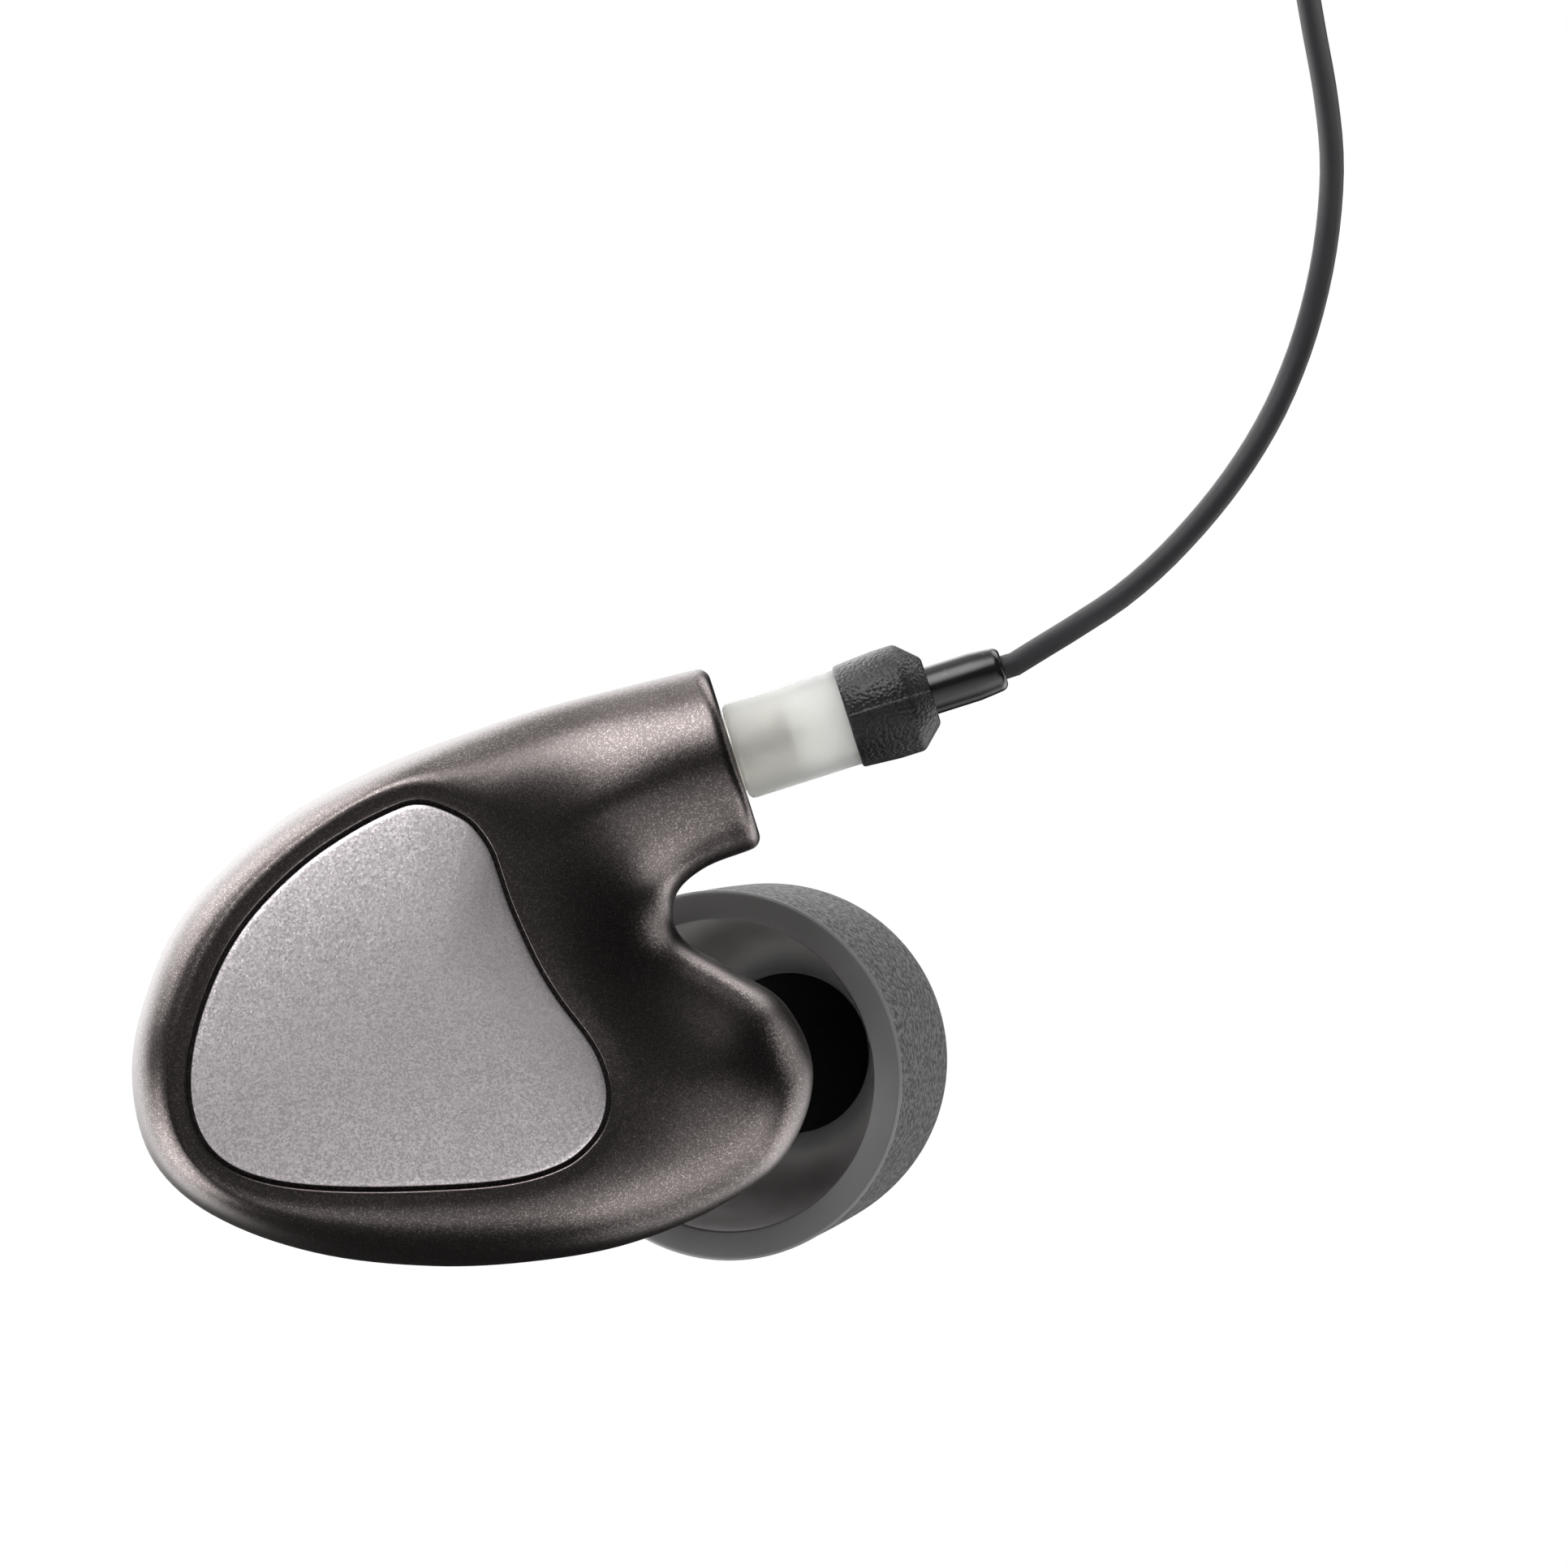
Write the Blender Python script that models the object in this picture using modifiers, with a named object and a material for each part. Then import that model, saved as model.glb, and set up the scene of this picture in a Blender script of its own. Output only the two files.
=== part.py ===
"""One in-ear monitor: moulded earpiece, push-on ear tip and plug-in lead with its jack.

The earpiece is drawn in its own frame (x right, y up, z out through the faceplate) and then laid
on a table, tip down. The lead and the jack lie on that table in world coordinates.
"""

import math

import bmesh
import bpy
import numpy as np
from mathutils import Matrix, Vector
from mathutils.geometry import interpolate_bezier

MM = 0.001

# Housing: outline seen through the faceplate, between the two corners of the connector boss
SILHOUETTE = [
    (4.85, 10.85), (2.16, 10.16), (0.0, 9.48), (-3.60, 8.10), (-6.94, 6.25), (-9.99, 3.25),
    (-11.40, 0.0), (-11.65, -2.48), (-10.94, -4.87), (-9.05, -6.58), (-5.69, -7.83),
    (-1.76, -8.28), (1.72, -8.10), (4.81, -7.50), (7.90, -6.17), (9.85, -4.59), (10.73, -1.98),
    (9.83, 0.32), (7.98, 1.55), (6.35, 2.62), (6.19, 3.84), (7.08, 4.77),
]
# Faceplate edge: one point for the boss's top corner, one for each point above, then the bottom
# corner and the three points that face the boss's end
PLATE_EDGE = [
    (-1.28, 6.68), (-1.75, 6.85), (-2.14, 6.92), (-2.70, 6.85), (-4.30, 6.07), (-6.22, 4.73),
    (-8.25, 2.48), (-9.45, -0.40), (-9.69, -2.67), (-9.02, -4.43), (-7.34, -5.34),
    (-4.54, -5.63), (-1.20, -5.56), (1.00, -5.35), (2.59, -4.83), (3.36, -4.19), (3.82, -3.47),
    (3.96, -2.40), (3.50, -1.07), (2.46, 0.29), (1.71, 1.47), (1.15, 2.62), (0.67, 3.74),
    (0.32, 4.81), (0.08, 5.45), (-0.48, 6.22), (-0.90, 6.50),
]
SHELL_WALL = 0.9 * MM
SHELL_SEAM_Z = -0.9 * MM
FRONT_CREST = 3.05 * MM
FRONT_ROUNDING = 2.6 * MM
LOBE_CREST = 2.75 * MM
LOBE_ROUNDING = 4.2 * MM
BACK_CREST = 5.6 * MM
BACK_ROUNDING = 6.0 * MM
LOBE_BACK_CREST = 5.3 * MM
LOBE_START_X = 2.0 * MM
LOBE_FULL_X = 7.5 * MM

# Connector boss at the housing's upper right
BOSS_END = (8.12 * MM, 8.60 * MM)
BOSS_ANGLE = math.radians(17.6)
BOSS_TOP = 3.0 * MM
BOSS_BOTTOM = 3.2 * MM
BOSS_DEPTH = 2.75 * MM
BOSS_LENGTH = 7.0 * MM
BOSS_FILLET = 0.35 * MM

# Faceplate in its recess
PLATE_THICKNESS = 0.8 * MM
PLATE_DOME = 0.14 * MM
PLATE_CHAMFER = 0.07 * MM
PLATE_GAP = 0.13 * MM
PLATE_SUNK = 0.08 * MM
ADHESIVE_THICKNESS = 0.12 * MM
ADHESIVE_WIDTH = 1.1 * MM
LIP_WIDTH = 0.57 * MM
LIP_ROUNDING = 0.16 * MM

# Sound nozzle and ear tip, along the nozzle's axis from the bell's rim
TIP_RIM = (7.74 * MM, -2.09 * MM, -6.5 * MM)
TIP_DIRECTION = (0.291, 0.086, -0.953)
NOZZLE_RADIUS = 1.5 * MM
NOZZLE_BORE = 1.12 * MM
NOZZLE_FLANGE_RADIUS = 2.2 * MM
NOZZLE_FLANGE = 0.5 * MM
NOZZLE_SEAT = -2.0 * MM
NOZZLE_STUB_END = -0.75 * MM
NOZZLE_STUB_RADIUS = 2.15 * MM
NOZZLE_STUB_ROOT = 2.9 * MM
NOZZLE_TIP = 6.9 * MM
NOZZLE_BARB = 0.12 * MM
NOZZLE_BARB_AT = 4.6 * MM
SCREEN_THICKNESS = 0.35 * MM
SCREEN_SEAT = 0.2 * MM
TIP_LENGTH = 8.9 * MM
TIP_RIM_RADIUS = 6.14 * MM
TIP_FRONT_RADIUS = 3.4 * MM
# Outside of the bell as shares of its rim radius and of its length
TIP_SHAPE = [
    (0.70, 0.972), (0.82, 0.915), (0.905, 0.83), (0.95, 0.70), (0.972, 0.50), (0.99, 0.25),
]
TIP_RIM_BAND = 0.94 * MM
TIP_EDGE = 0.1 * MM
TIP_HOLLOW = 7.2 * MM
CORE_RADIUS = 2.45 * MM
CORE_BACK = -0.55 * MM
CORE_RECESS = 0.35 * MM
TIP_TRAVEL = 12.0 * MM

# Drivers: balanced-armature cans as length, width, height, and the middle of each can
DRIVERS = {
    "low": ((7.0, 4.1, 2.7), (-5.0, -2.6, -1.6)),
    "mid": ((5.4, 2.8, 2.0), (-4.2, 2.4, -1.8)),
    "high": ((5.0, 2.8, 1.9), (1.1, -4.7, -1.4)),
}
CAN_ROUNDING = 0.2 * MM
SPOUT_RADIUS = 0.2 * MM
SPOUT_LENGTH = 0.7 * MM
TUBE_RADIUS = 0.46 * MM
TUBE_WALL = 0.14 * MM
TUBE_SPREAD = 0.6 * MM
TUBE_INSERTED = 1.3 * MM
DAMPER_LENGTH = 0.9 * MM

# Crossover board
BOARD_SIZE = (4.4 * MM, 2.8 * MM, 0.5 * MM)
BOARD_CENTRE = (-0.6 * MM, 5.5 * MM, -0.6 * MM)
CAPACITOR_SIZE = (1.6 * MM, 0.8 * MM, 0.7 * MM)
RESISTOR_SIZE = (1.0 * MM, 0.5 * MM, 0.35 * MM)
WIRE_RADIUS = 0.11 * MM

# Coaxial connector, along the boss's axis from its end face
SOCKET_RADIUS = 1.9 * MM
SOCKET_BORE = 1.36 * MM
SOCKET_LENGTH = 5.0 * MM
SOCKET_RIM_SUNK = 0.05 * MM
SOCKET_FLANGE_RADIUS = 2.25 * MM
SOCKET_FLANGE_AT = -3.2 * MM
SOCKET_FLANGE = 0.8 * MM
SOCKET_INSULATOR = 1.0 * MM
CONTACT_RADIUS = 0.40 * MM
CONTACT_BORE = 0.24 * MM
CONTACT_MOUTH = -1.9 * MM
CONTACT_TAIL = 0.5 * MM
PLUG_RADIUS = 1.30 * MM
PLUG_WALL = 0.34 * MM
PLUG_INSERTED = 3.6 * MM
PLUG_TAIL = 2.0 * MM
PLUG_INSULATOR_FRONT = -1.5 * MM
PIN_RADIUS = 0.18 * MM
PIN_INSERTED = 3.0 * MM
RING_GROOVE_AT = -2.5 * MM
RING_GROOVE_WIDTH = 0.44 * MM
RING_GROOVE_DEPTH = 0.19 * MM
RING_PROUD = 0.025 * MM
RING_SLOT = math.radians(36.0)
SLEEVE_RADIUS = 1.615 * MM
SLEEVE_LENGTH = 3.74 * MM
SLEEVE_GAP = 0.12 * MM
SLEEVE_EDGE = 0.10 * MM
COLLAR_LENGTH = 2.88 * MM
COLLAR_FRONT_RADIUS = 1.73 * MM
COLLAR_RADIUS = 1.825 * MM
COLLAR_REAR_RADIUS = 1.125 * MM
COLLAR_CHAMFER = 0.75 * MM
RELIEF_LENGTH = 2.5 * MM
RELIEF_RADIUS = 0.81 * MM
RELIEF_END_RADIUS = 0.73 * MM
RELIEF_INSIDE = 1.9 * MM
UNPLUG_TRAVEL = 5.0 * MM

# Lead
LEAD_RADIUS = 0.4 * MM
LEAD_IN_RELIEF = 1.0 * MM
LEAD_STRAIGHT = 3.2 * MM
LEAD_STEP = 2.0 * MM
CORD_JOINT_GAP = 0.3 * MM
# Route of the free stretch on its way from the strain relief to the coil, in millimetres
LEAD_ROUTE = [
    (10.35, 13.10, 7.95), (11.2, 14.43, 8.25), (12.5, 15.91, 8.28), (14.05, 17.46, 7.78),
    (15.9, 19.2, 6.7), (17.45, 20.9, 5.4), (18.5, 22.6, 4.1), (19.0, 24.45, 3.0),
    (19.0, 26.5, 2.1), (18.5, 28.75, 1.4), (17.45, 31.1, 0.9), (15.95, 33.7, 0.6),
    (14.15, 36.7, 0.5), (12.0, 40.3, 0.6), (9.75, 44.1, 0.9),
]
COIL_CENTRE = (17.2 * MM, 54.5 * MM)
COIL_START = math.radians(205.0)
COIL_LAYERS = 4
COIL_TURNS_PER_LAYER = 5
COIL_PITCH = 1.25 * MM
COIL_INNER_RADIUS = 5.6 * MM
COIL_POINTS_PER_TURN = 24
# Route of the tail from the coil's top down to the table and up into the jack's boot
TAIL_ROUTE = [
    (4.7, 53.4, 4.75), (2.1, 57.2, 3.6), (-1.7, 60.6, 1.9), (-5.6, 62.9, 0.75),
    (-9.0, 65.1, 0.45), (-10.9, 67.6, 0.55), (-10.9, 69.9, 1.5), (-9.0, 70.7, 2.6),
]
TIE_THICKNESS = 0.5 * MM
TIE_WIDTH = 3.0 * MM
TIE_AT = math.radians(255.0)
TIE_CORNER = 1.2 * MM
TIE_GAP = 0.3 * MM

# Three-pole jack, along its axis from the handle's front face
JACK_RADIUS = 1.75 * MM
JACK_LENGTH = 14.0 * MM
JACK_TIP_LENGTH = 3.3 * MM
JACK_RING_LENGTH = 2.2 * MM
JACK_INSULATOR_LENGTH = 0.55 * MM
JACK_ROD_RADIUS = 0.5 * MM
JACK_TUBE_WALL = 0.3 * MM
JACK_NECK_RADIUS = 1.05 * MM
JACK_INSIDE = 4.0 * MM
HANDLE_RADIUS = 3.0 * MM
HANDLE_LENGTH = 14.0 * MM
HANDLE_CHAMFER = 0.5 * MM
HANDLE_WAIST = 0.25 * MM
HANDLE_BORE_DEPTH = 5.0 * MM
BOOT_RADIUS = 1.6 * MM
BOOT_END_RADIUS = 0.85 * MM
BOOT_LENGTH = 6.0 * MM
BOOT_INSIDE = 2.0 * MM
JACK_PLACE = (15.0 * MM, 70.8 * MM)
JACK_HEADING = math.radians(0.0)

# Laying the earpiece down
TABLE_TILT = math.radians(-33.356)
TABLE_ROLL = math.radians(-41.0)

# Fits and facets
CLEARANCE = 0.06 * MM
REST_GAP = 0.02 * MM
ROUND_STEPS = 24
INNER_STEPS = 20
TIP_STEPS = 40
SMALL_STEPS = 16
OUTLINE_SAMPLES = 2
FRONT_RINGS = 6
BACK_RINGS = 6
CAVITY_SAMPLES = 2
WIRE_SAMPLES = 2
CAVITY_RINGS = 3
MERGE = 1e-7


def clear_scene():
    for thing in list(bpy.data.objects):
        bpy.data.objects.remove(thing)


def collection(name):
    made = bpy.data.collections.new(name)
    bpy.context.scene.collection.children.link(made)
    return made


def material(name, colour, roughness, metallic):
    made = bpy.data.materials.new(name)
    made.use_nodes = True
    shader = made.node_tree.nodes["Principled BSDF"]
    shader.inputs["Base Color"].default_value = (*colour, 1.0)
    shader.inputs["Roughness"].default_value = roughness
    shader.inputs["Metallic"].default_value = metallic
    return made


def add_part(name, data, finish, parent=None):
    made = bpy.data.objects.new(name, data)
    data.materials.append(finish)
    PARTS.objects.link(made)
    made.parent = parent
    return made


def add_cutter(name, data, parent=None):
    made = bpy.data.objects.new(name, data)
    CUTTERS.objects.link(made)
    made.parent = parent
    made.hide_render = True
    made.display_type = "WIRE"
    return made


def add_empty(name, matrix, parent=None):
    made = bpy.data.objects.new(name, None)
    PARTS.objects.link(made)
    made.parent = parent
    made.matrix_local = matrix
    return made


def boolean(target, operation, cutter):
    step = target.modifiers.new(operation.lower(), "BOOLEAN")
    step.operation = operation
    step.object = cutter


def finish_mesh(bm, name):
    bmesh.ops.recalc_face_normals(bm, faces=bm.faces)
    mesh = bpy.data.meshes.new(name)
    bm.to_mesh(mesh)
    bm.free()
    mesh.shade_smooth()
    mesh.set_sharp_from_angle(angle=math.radians(35.0))
    return mesh


def profile_mesh(name, profile, closed):
    """Half section in the XZ plane, for a Screw modifier: (radius, height) down the outside."""
    bm = bmesh.new()
    verts = [bm.verts.new((radius, 0.0, height)) for radius, height in profile]
    for first, second in zip(verts, verts[1:]):
        bm.edges.new((first, second))
    if closed:
        bm.edges.new((verts[-1], verts[0]))
    mesh = bpy.data.meshes.new(name)
    bm.to_mesh(mesh)
    bm.free()
    return mesh


def screw(target, steps, angle=math.tau):
    turn = target.modifiers.new("turn", "SCREW")
    turn.axis = "Z"
    turn.angle = angle
    turn.steps = steps
    turn.render_steps = steps
    turn.use_merge_vertices = True
    turn.merge_threshold = MERGE
    turn.use_smooth_shade = False


def turned(name, profile, finish, parent, closed=True, steps=ROUND_STEPS):
    made = add_part(name, profile_mesh(name, profile, closed), finish, parent)
    screw(made, steps)
    return made


def turned_cutter(name, profile, parent, closed=False, steps=ROUND_STEPS):
    made = add_cutter(name, profile_mesh(name, profile, closed), parent)
    screw(made, steps)
    return made


def box_mesh(name, size, rounding=0.0):
    bm = bmesh.new()
    bmesh.ops.create_cube(bm, size=1.0)
    bmesh.ops.scale(bm, vec=size, verts=bm.verts)
    if rounding:
        bmesh.ops.bevel(bm, geom=bm.edges[:], offset=rounding, segments=2, profile=0.5,
                        affect="EDGES")
    return finish_mesh(bm, name)


def spline(points, samples, closed=True, corners=()):
    """Smooth curve through the points; its tangents are one-sided at the corners."""
    points = [Vector(point) for point in points]
    count = len(points)
    spans = count if closed else count - 1

    def tangent(index, leaving):
        ahead = points[(index + 1) % count]
        behind = points[index - 1]
        here = points[index]
        at_end = not closed and index in (0, count - 1)
        if index in corners or at_end:
            leaving = (index == 0) if at_end else leaving
            return (ahead - here if leaving else here - behind).normalized()
        return (ahead - behind).normalized()

    curve = []
    for index in range(spans):
        after = (index + 1) % count
        start, end = points[index], points[after]
        reach = (end - start).length / 3.0
        first_handle = start + tangent(index, True) * reach
        last_handle = end - tangent(after, False) * reach
        span = interpolate_bezier(start, first_handle, last_handle, end, samples + 1)
        curve.extend(span[:-1])
    if not closed:
        curve.append(points[-1])
    return curve


def offset_closed(curve, distance):
    """Moves a counter-clockwise outline outwards along its normals."""
    moved = []
    for index, point in enumerate(curve):
        along = (curve[(index + 1) % len(curve)] - curve[index - 1]).normalized()
        moved.append(point + Vector((along.y, -along.x)) * distance)
    return moved


def scaled_about_middle(curve, factor):
    middle = sum(curve, Vector((0.0, 0.0))) / len(curve)
    return [middle + (point - middle) * factor for point in curve]


def distance_to_path(points, path):
    """Least distance from each point to a polyline, all at once."""
    points = np.array(points)[:, None, :]
    starts = np.array(path[:-1])[None, :, :]
    runs = np.array(path[1:])[None, :, :] - starts
    share = ((points - starts) * runs).sum(2) / (runs * runs).sum(2)
    nearest = starts + np.clip(share, 0.0, 1.0)[:, :, None] * runs
    return np.sqrt(((points - nearest) ** 2).sum(2)).min(1)


def smooth_share(value, low, high):
    share = np.clip((value - low) / (high - low), 0.0, 1.0)
    return share * share * (3.0 - 2.0 * share)


def dome(distance, rounding):
    inside = 1.0 - np.clip(distance / rounding, 0.0, 1.0)
    return np.sqrt(1.0 - inside * inside)


def boss_directions():
    along = Vector((math.cos(BOSS_ANGLE), math.sin(BOSS_ANGLE)))
    return along, Vector((-along.y, along.x))


def housing_heights(points, edge, crest, rounding, lobe_crest):
    """Height of the housing's skin over its silhouette plane, for one side of it."""
    along, across = boss_directions()
    flat = np.array(points)
    reach = (flat - np.array(BOSS_END)) @ np.array(along)
    boss = smooth_share(reach, -BOSS_LENGTH, -0.25 * BOSS_LENGTH)
    lobe = smooth_share(flat[:, 0], LOBE_START_X, LOBE_FULL_X) * (1.0 - boss)
    body = 1.0 - boss - lobe
    boss_rounding = (BOSS_TOP + BOSS_BOTTOM) / 2.0
    top = crest * body + lobe_crest * lobe + BOSS_DEPTH * boss
    width = rounding * body + LOBE_ROUNDING * lobe + boss_rounding * boss
    return top * dome(distance_to_path(points, edge), width)


def column_steps(distance, width, count):
    """Places along one column that are even over a rounded edge and the flat behind it."""
    if width >= distance:
        reach = math.acos(1.0 - distance / width)
        return [width * (1.0 - math.cos(reach * step / count)) for step in range(count + 1)]
    arc = width * math.pi / 2.0
    total = arc + distance - width
    places = []
    for step in range(count + 1):
        run = total * step / count
        places.append(width * (1.0 - math.cos(run / width)) if run < arc else width + run - arc)
    return places


class HousingGrid:
    """Matched outlines of the housing: its silhouette, and the faceplate's edge."""

    def __init__(self):
        along, across = boss_directions()
        end = Vector(BOSS_END) - along * BOSS_FILLET
        top = end + across * BOSS_TOP
        bottom = end - across * BOSS_BOTTOM
        flank = [top, *(Vector(point) * MM for point in SILHOUETTE), bottom]
        self.edge = spline(flank, OUTLINE_SAMPLES, closed=False)
        end_steps = (len(PLATE_EDGE) - len(flank) + 1) * OUTLINE_SAMPLES
        middle, half = (top + bottom) / 2.0, (top - bottom) / 2.0
        turns = [math.pi * step / end_steps for step in range(1, end_steps)]
        self.end_columns = range(len(self.edge), len(self.edge) + len(turns))
        self.silhouette = self.edge + [middle - half * math.cos(turn) for turn in turns]
        self.end_roundness = {
            column: math.cos(turn) ** 2 for column, turn in zip(self.end_columns, turns)
        }
        plate = [Vector(point) * MM for point in PLATE_EDGE]
        self.plate = spline(plate, OUTLINE_SAMPLES)
        self.end = end

    def rows(self, inner, rings, crest, rounding, lobe_crest, side):
        """Rings of points from the silhouette in to the inner outline, on one side."""
        steps = []
        for column, (outer, target) in enumerate(zip(self.silhouette, inner)):
            width = rounding * self.end_roundness.get(column, 1.0)
            distance = (target - outer).length
            places = column_steps(distance, max(width, 0.01 * MM), rings)
            steps.append([place / distance for place in places])
        rows = []
        for ring in range(rings + 1):
            flat = [outer.lerp(target, share[ring])
                    for outer, target, share in zip(self.silhouette, inner, steps)]
            heights = housing_heights(flat, self.edge, crest, rounding, lobe_crest)
            rows.append([Vector((*point, side * height)) for point, height in zip(flat, heights)])
        return rows


def skin_between(bm, outer, inner):
    count = len(outer)
    for column in range(count):
        after = (column + 1) % count
        bm.faces.new((outer[column], outer[after], inner[after], inner[column]))


def close_with_fan(bm, ring, tip):
    centre = bm.verts.new(tip)
    for first, second in zip(ring, ring[1:] + ring[:1]):
        bm.faces.new((first, second, centre))


def recess_floor():
    return FRONT_CREST - PLATE_SUNK - PLATE_THICKNESS - ADHESIVE_THICKNESS - 2.0 * CLEARANCE


def housing_mesh(name):
    """Closed outer form of the housing: flanks, faceplate lip and recess, back, and boss end."""
    grid = HousingGrid()
    bm = bmesh.new()
    foot = offset_closed(grid.plate, PLATE_GAP + LIP_WIDTH)
    front = grid.rows(foot, FRONT_RINGS, FRONT_CREST, FRONT_ROUNDING, LOBE_CREST, 1.0)
    lip = [
        (PLATE_GAP + LIP_WIDTH - LIP_ROUNDING, FRONT_CREST - 0.3 * LIP_ROUNDING),
        (PLATE_GAP + LIP_ROUNDING, FRONT_CREST),
        (PLATE_GAP, FRONT_CREST - 0.3 * LIP_ROUNDING),
        (PLATE_GAP, recess_floor()),
    ]
    for out, height in lip:
        front.append([Vector((*point, height)) for point in offset_closed(grid.plate, out)])
    core = scaled_about_middle(grid.plate, 0.5)
    back = grid.rows(core, BACK_RINGS, BACK_CREST, BACK_ROUNDING, LOBE_BACK_CREST, -1.0)
    for factor in (0.66, 0.33):
        inner = scaled_about_middle(core, factor)
        heights = housing_heights(inner, grid.edge, BACK_CREST, BACK_ROUNDING, LOBE_BACK_CREST)
        back.append([Vector((*point, -height)) for point, height in zip(inner, heights)])

    front_verts = [[bm.verts.new(point) for point in row] for row in front]
    back_verts = [[bm.verts.new(point) for point in row] for row in back[1:]]
    seam = list(front_verts[0])
    for column in grid.end_columns:
        seam[column] = bm.verts.new(back[0][column])
    back_verts.insert(0, seam)
    for rows in (front_verts, back_verts):
        for outer, inner in zip(rows, rows[1:]):
            skin_between(bm, outer, inner)
    bm.faces.new(front_verts[-1])
    middle = sum((vert.co for vert in back_verts[-1]), Vector()) / len(back_verts[-1])
    close_with_fan(bm, back_verts[-1], middle)
    close_boss_end(bm, grid, front_verts[0], seam)
    return finish_mesh(bm, name)


def close_boss_end(bm, grid, front_edge, back_edge):
    """Rounds the boss's end over and closes it with a flat face."""
    along, across = boss_directions()
    first, last = grid.end_columns[0], grid.end_columns[-1]
    loop = [front_edge[column] for column in range(first - 1, last + 1)]
    loop += [front_edge[0]] + [back_edge[column] for column in range(last, first - 1, -1)]
    centre = Vector((*grid.end, 0.0))
    out = Vector((*along, 0.0))
    rim = max((vert.co - centre).length for vert in loop)
    for turn in (math.radians(30.0), math.radians(60.0), math.radians(90.0)):
        drawn_in = 1.0 - BOSS_FILLET * (1.0 - math.cos(turn)) / rim
        raised = out * BOSS_FILLET * math.sin(turn)
        if turn == math.radians(30.0):
            base = [vert.co.copy() for vert in loop]
        ring = [bm.verts.new(centre + (point - centre) * drawn_in + raised) for point in base]
        skin_between(bm, loop, ring)
        loop = ring
    bm.faces.new(loop)


def cavity_mesh(name):
    """Space inside the two shells, one wall in from the silhouette and short of the socket."""
    along, across = boss_directions()
    flank = [Vector(point) * MM for point in SILHOUETTE[2:-1]]
    inside = []
    for index, point in enumerate(flank):
        run = (flank[min(index + 1, len(flank) - 1)] - flank[max(index - 1, 0)]).normalized()
        inside.append(point + Vector((-run.y, run.x)) * SHELL_WALL)
    wall = Vector(BOSS_END) - along * (SOCKET_LENGTH + SHELL_WALL)
    inside += [wall - across * SOCKET_RADIUS, wall + across * SOCKET_RADIUS]
    outline = spline(inside, CAVITY_SAMPLES)
    core = scaled_about_middle(outline, 0.45)
    bm = bmesh.new()
    waist = [bm.verts.new((*point, 0.0)) for point in outline]
    top = recess_floor() - SHELL_WALL
    for side, crest, rounding in ((1.0, top, top), (-1.0, BACK_CREST - SHELL_WALL, LOBE_ROUNDING)):
        rows = [waist]
        for ring in range(1, CAVITY_RINGS + 1):
            share = 1.0 - math.cos(math.pi / 2.0 * ring / CAVITY_RINGS)
            flat = [outer.lerp(target, share) for outer, target in zip(outline, core)]
            heights = crest * dome(distance_to_path(flat, outline + outline[:1]), rounding)
            rows.append([bm.verts.new((*point, side * height))
                         for point, height in zip(flat, heights)])
        for outer, inner in zip(rows, rows[1:]):
            skin_between(bm, outer, inner)
        middle = sum((vert.co for vert in rows[-1]), Vector()) / len(rows[-1])
        close_with_fan(bm, rows[-1], (middle.x, middle.y, side * crest))
    return finish_mesh(bm, name)


def half_space(name, low, high, parent):
    """Box that takes away everything of the housing between two heights."""
    span = 4.0 * max(abs(x) + abs(y) for x, y in SILHOUETTE) * MM
    cutter = add_cutter(name, box_mesh(name, (span, span, high - low)), parent)
    cutter.location = (0.0, 0.0, (low + high) / 2.0)
    return cutter


def make_shells(earpiece, connector, nozzle_axis):
    cavity = add_cutter("cavity", cavity_mesh("cavity"), earpiece)
    deep = 3.0 * (BACK_CREST + FRONT_CREST)
    below = half_space("below_seam", -deep, SHELL_SEAM_Z + CLEARANCE / 2.0, earpiece)
    above = half_space("above_seam", SHELL_SEAM_Z - CLEARANCE / 2.0, deep, earpiece)
    flange_back = SOCKET_FLANGE_AT - SOCKET_FLANGE / 2.0 - CLEARANCE
    flange_front = SOCKET_FLANGE_AT + SOCKET_FLANGE / 2.0 + CLEARANCE
    seat, flange = SOCKET_RADIUS + CLEARANCE, SOCKET_FLANGE_RADIUS + CLEARANCE
    socket_seat = turned_cutter("socket_seat", [
        (0.0, MM), (seat, MM), (seat, flange_front), (flange, flange_front), (flange, flange_back),
        (seat, flange_back), (seat, -SOCKET_LENGTH - 2.0 * SHELL_WALL),
        (0.0, -SOCKET_LENGTH - 2.0 * SHELL_WALL),
    ], connector)
    bore = NOZZLE_RADIUS + CLEARANCE
    spot = NOZZLE_FLANGE_RADIUS + 3.0 * CLEARANCE
    spot_back = NOZZLE_SEAT - 2.5 * MM
    nozzle_seat = turned_cutter("nozzle_seat", [
        (0.0, NOZZLE_STUB_END + MM), (bore, NOZZLE_STUB_END + MM), (bore, NOZZLE_SEAT),
        (spot, NOZZLE_SEAT), (spot, spot_back), (0.0, spot_back),
    ], nozzle_axis)
    root = NOZZLE_SEAT - 0.8 * MM
    stub = turned_cutter("nozzle_stub", [
        (0.0, NOZZLE_STUB_END), (NOZZLE_STUB_RADIUS - LIP_ROUNDING, NOZZLE_STUB_END),
        (NOZZLE_STUB_RADIUS, NOZZLE_STUB_END - LIP_ROUNDING), (NOZZLE_STUB_ROOT, root),
        (0.0, root),
    ], nozzle_axis)

    outer = add_part("outer_shell", housing_mesh("outer_shell"), PAINT, earpiece)
    for cutter in (cavity, socket_seat, below):
        boolean(outer, "DIFFERENCE", cutter)
    inner = add_part("inner_shell", housing_mesh("inner_shell"), PAINT, earpiece)
    boolean(inner, "DIFFERENCE", above)
    boolean(inner, "UNION", stub)
    for cutter in (cavity, socket_seat, nozzle_seat):
        boolean(inner, "DIFFERENCE", cutter)


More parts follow.
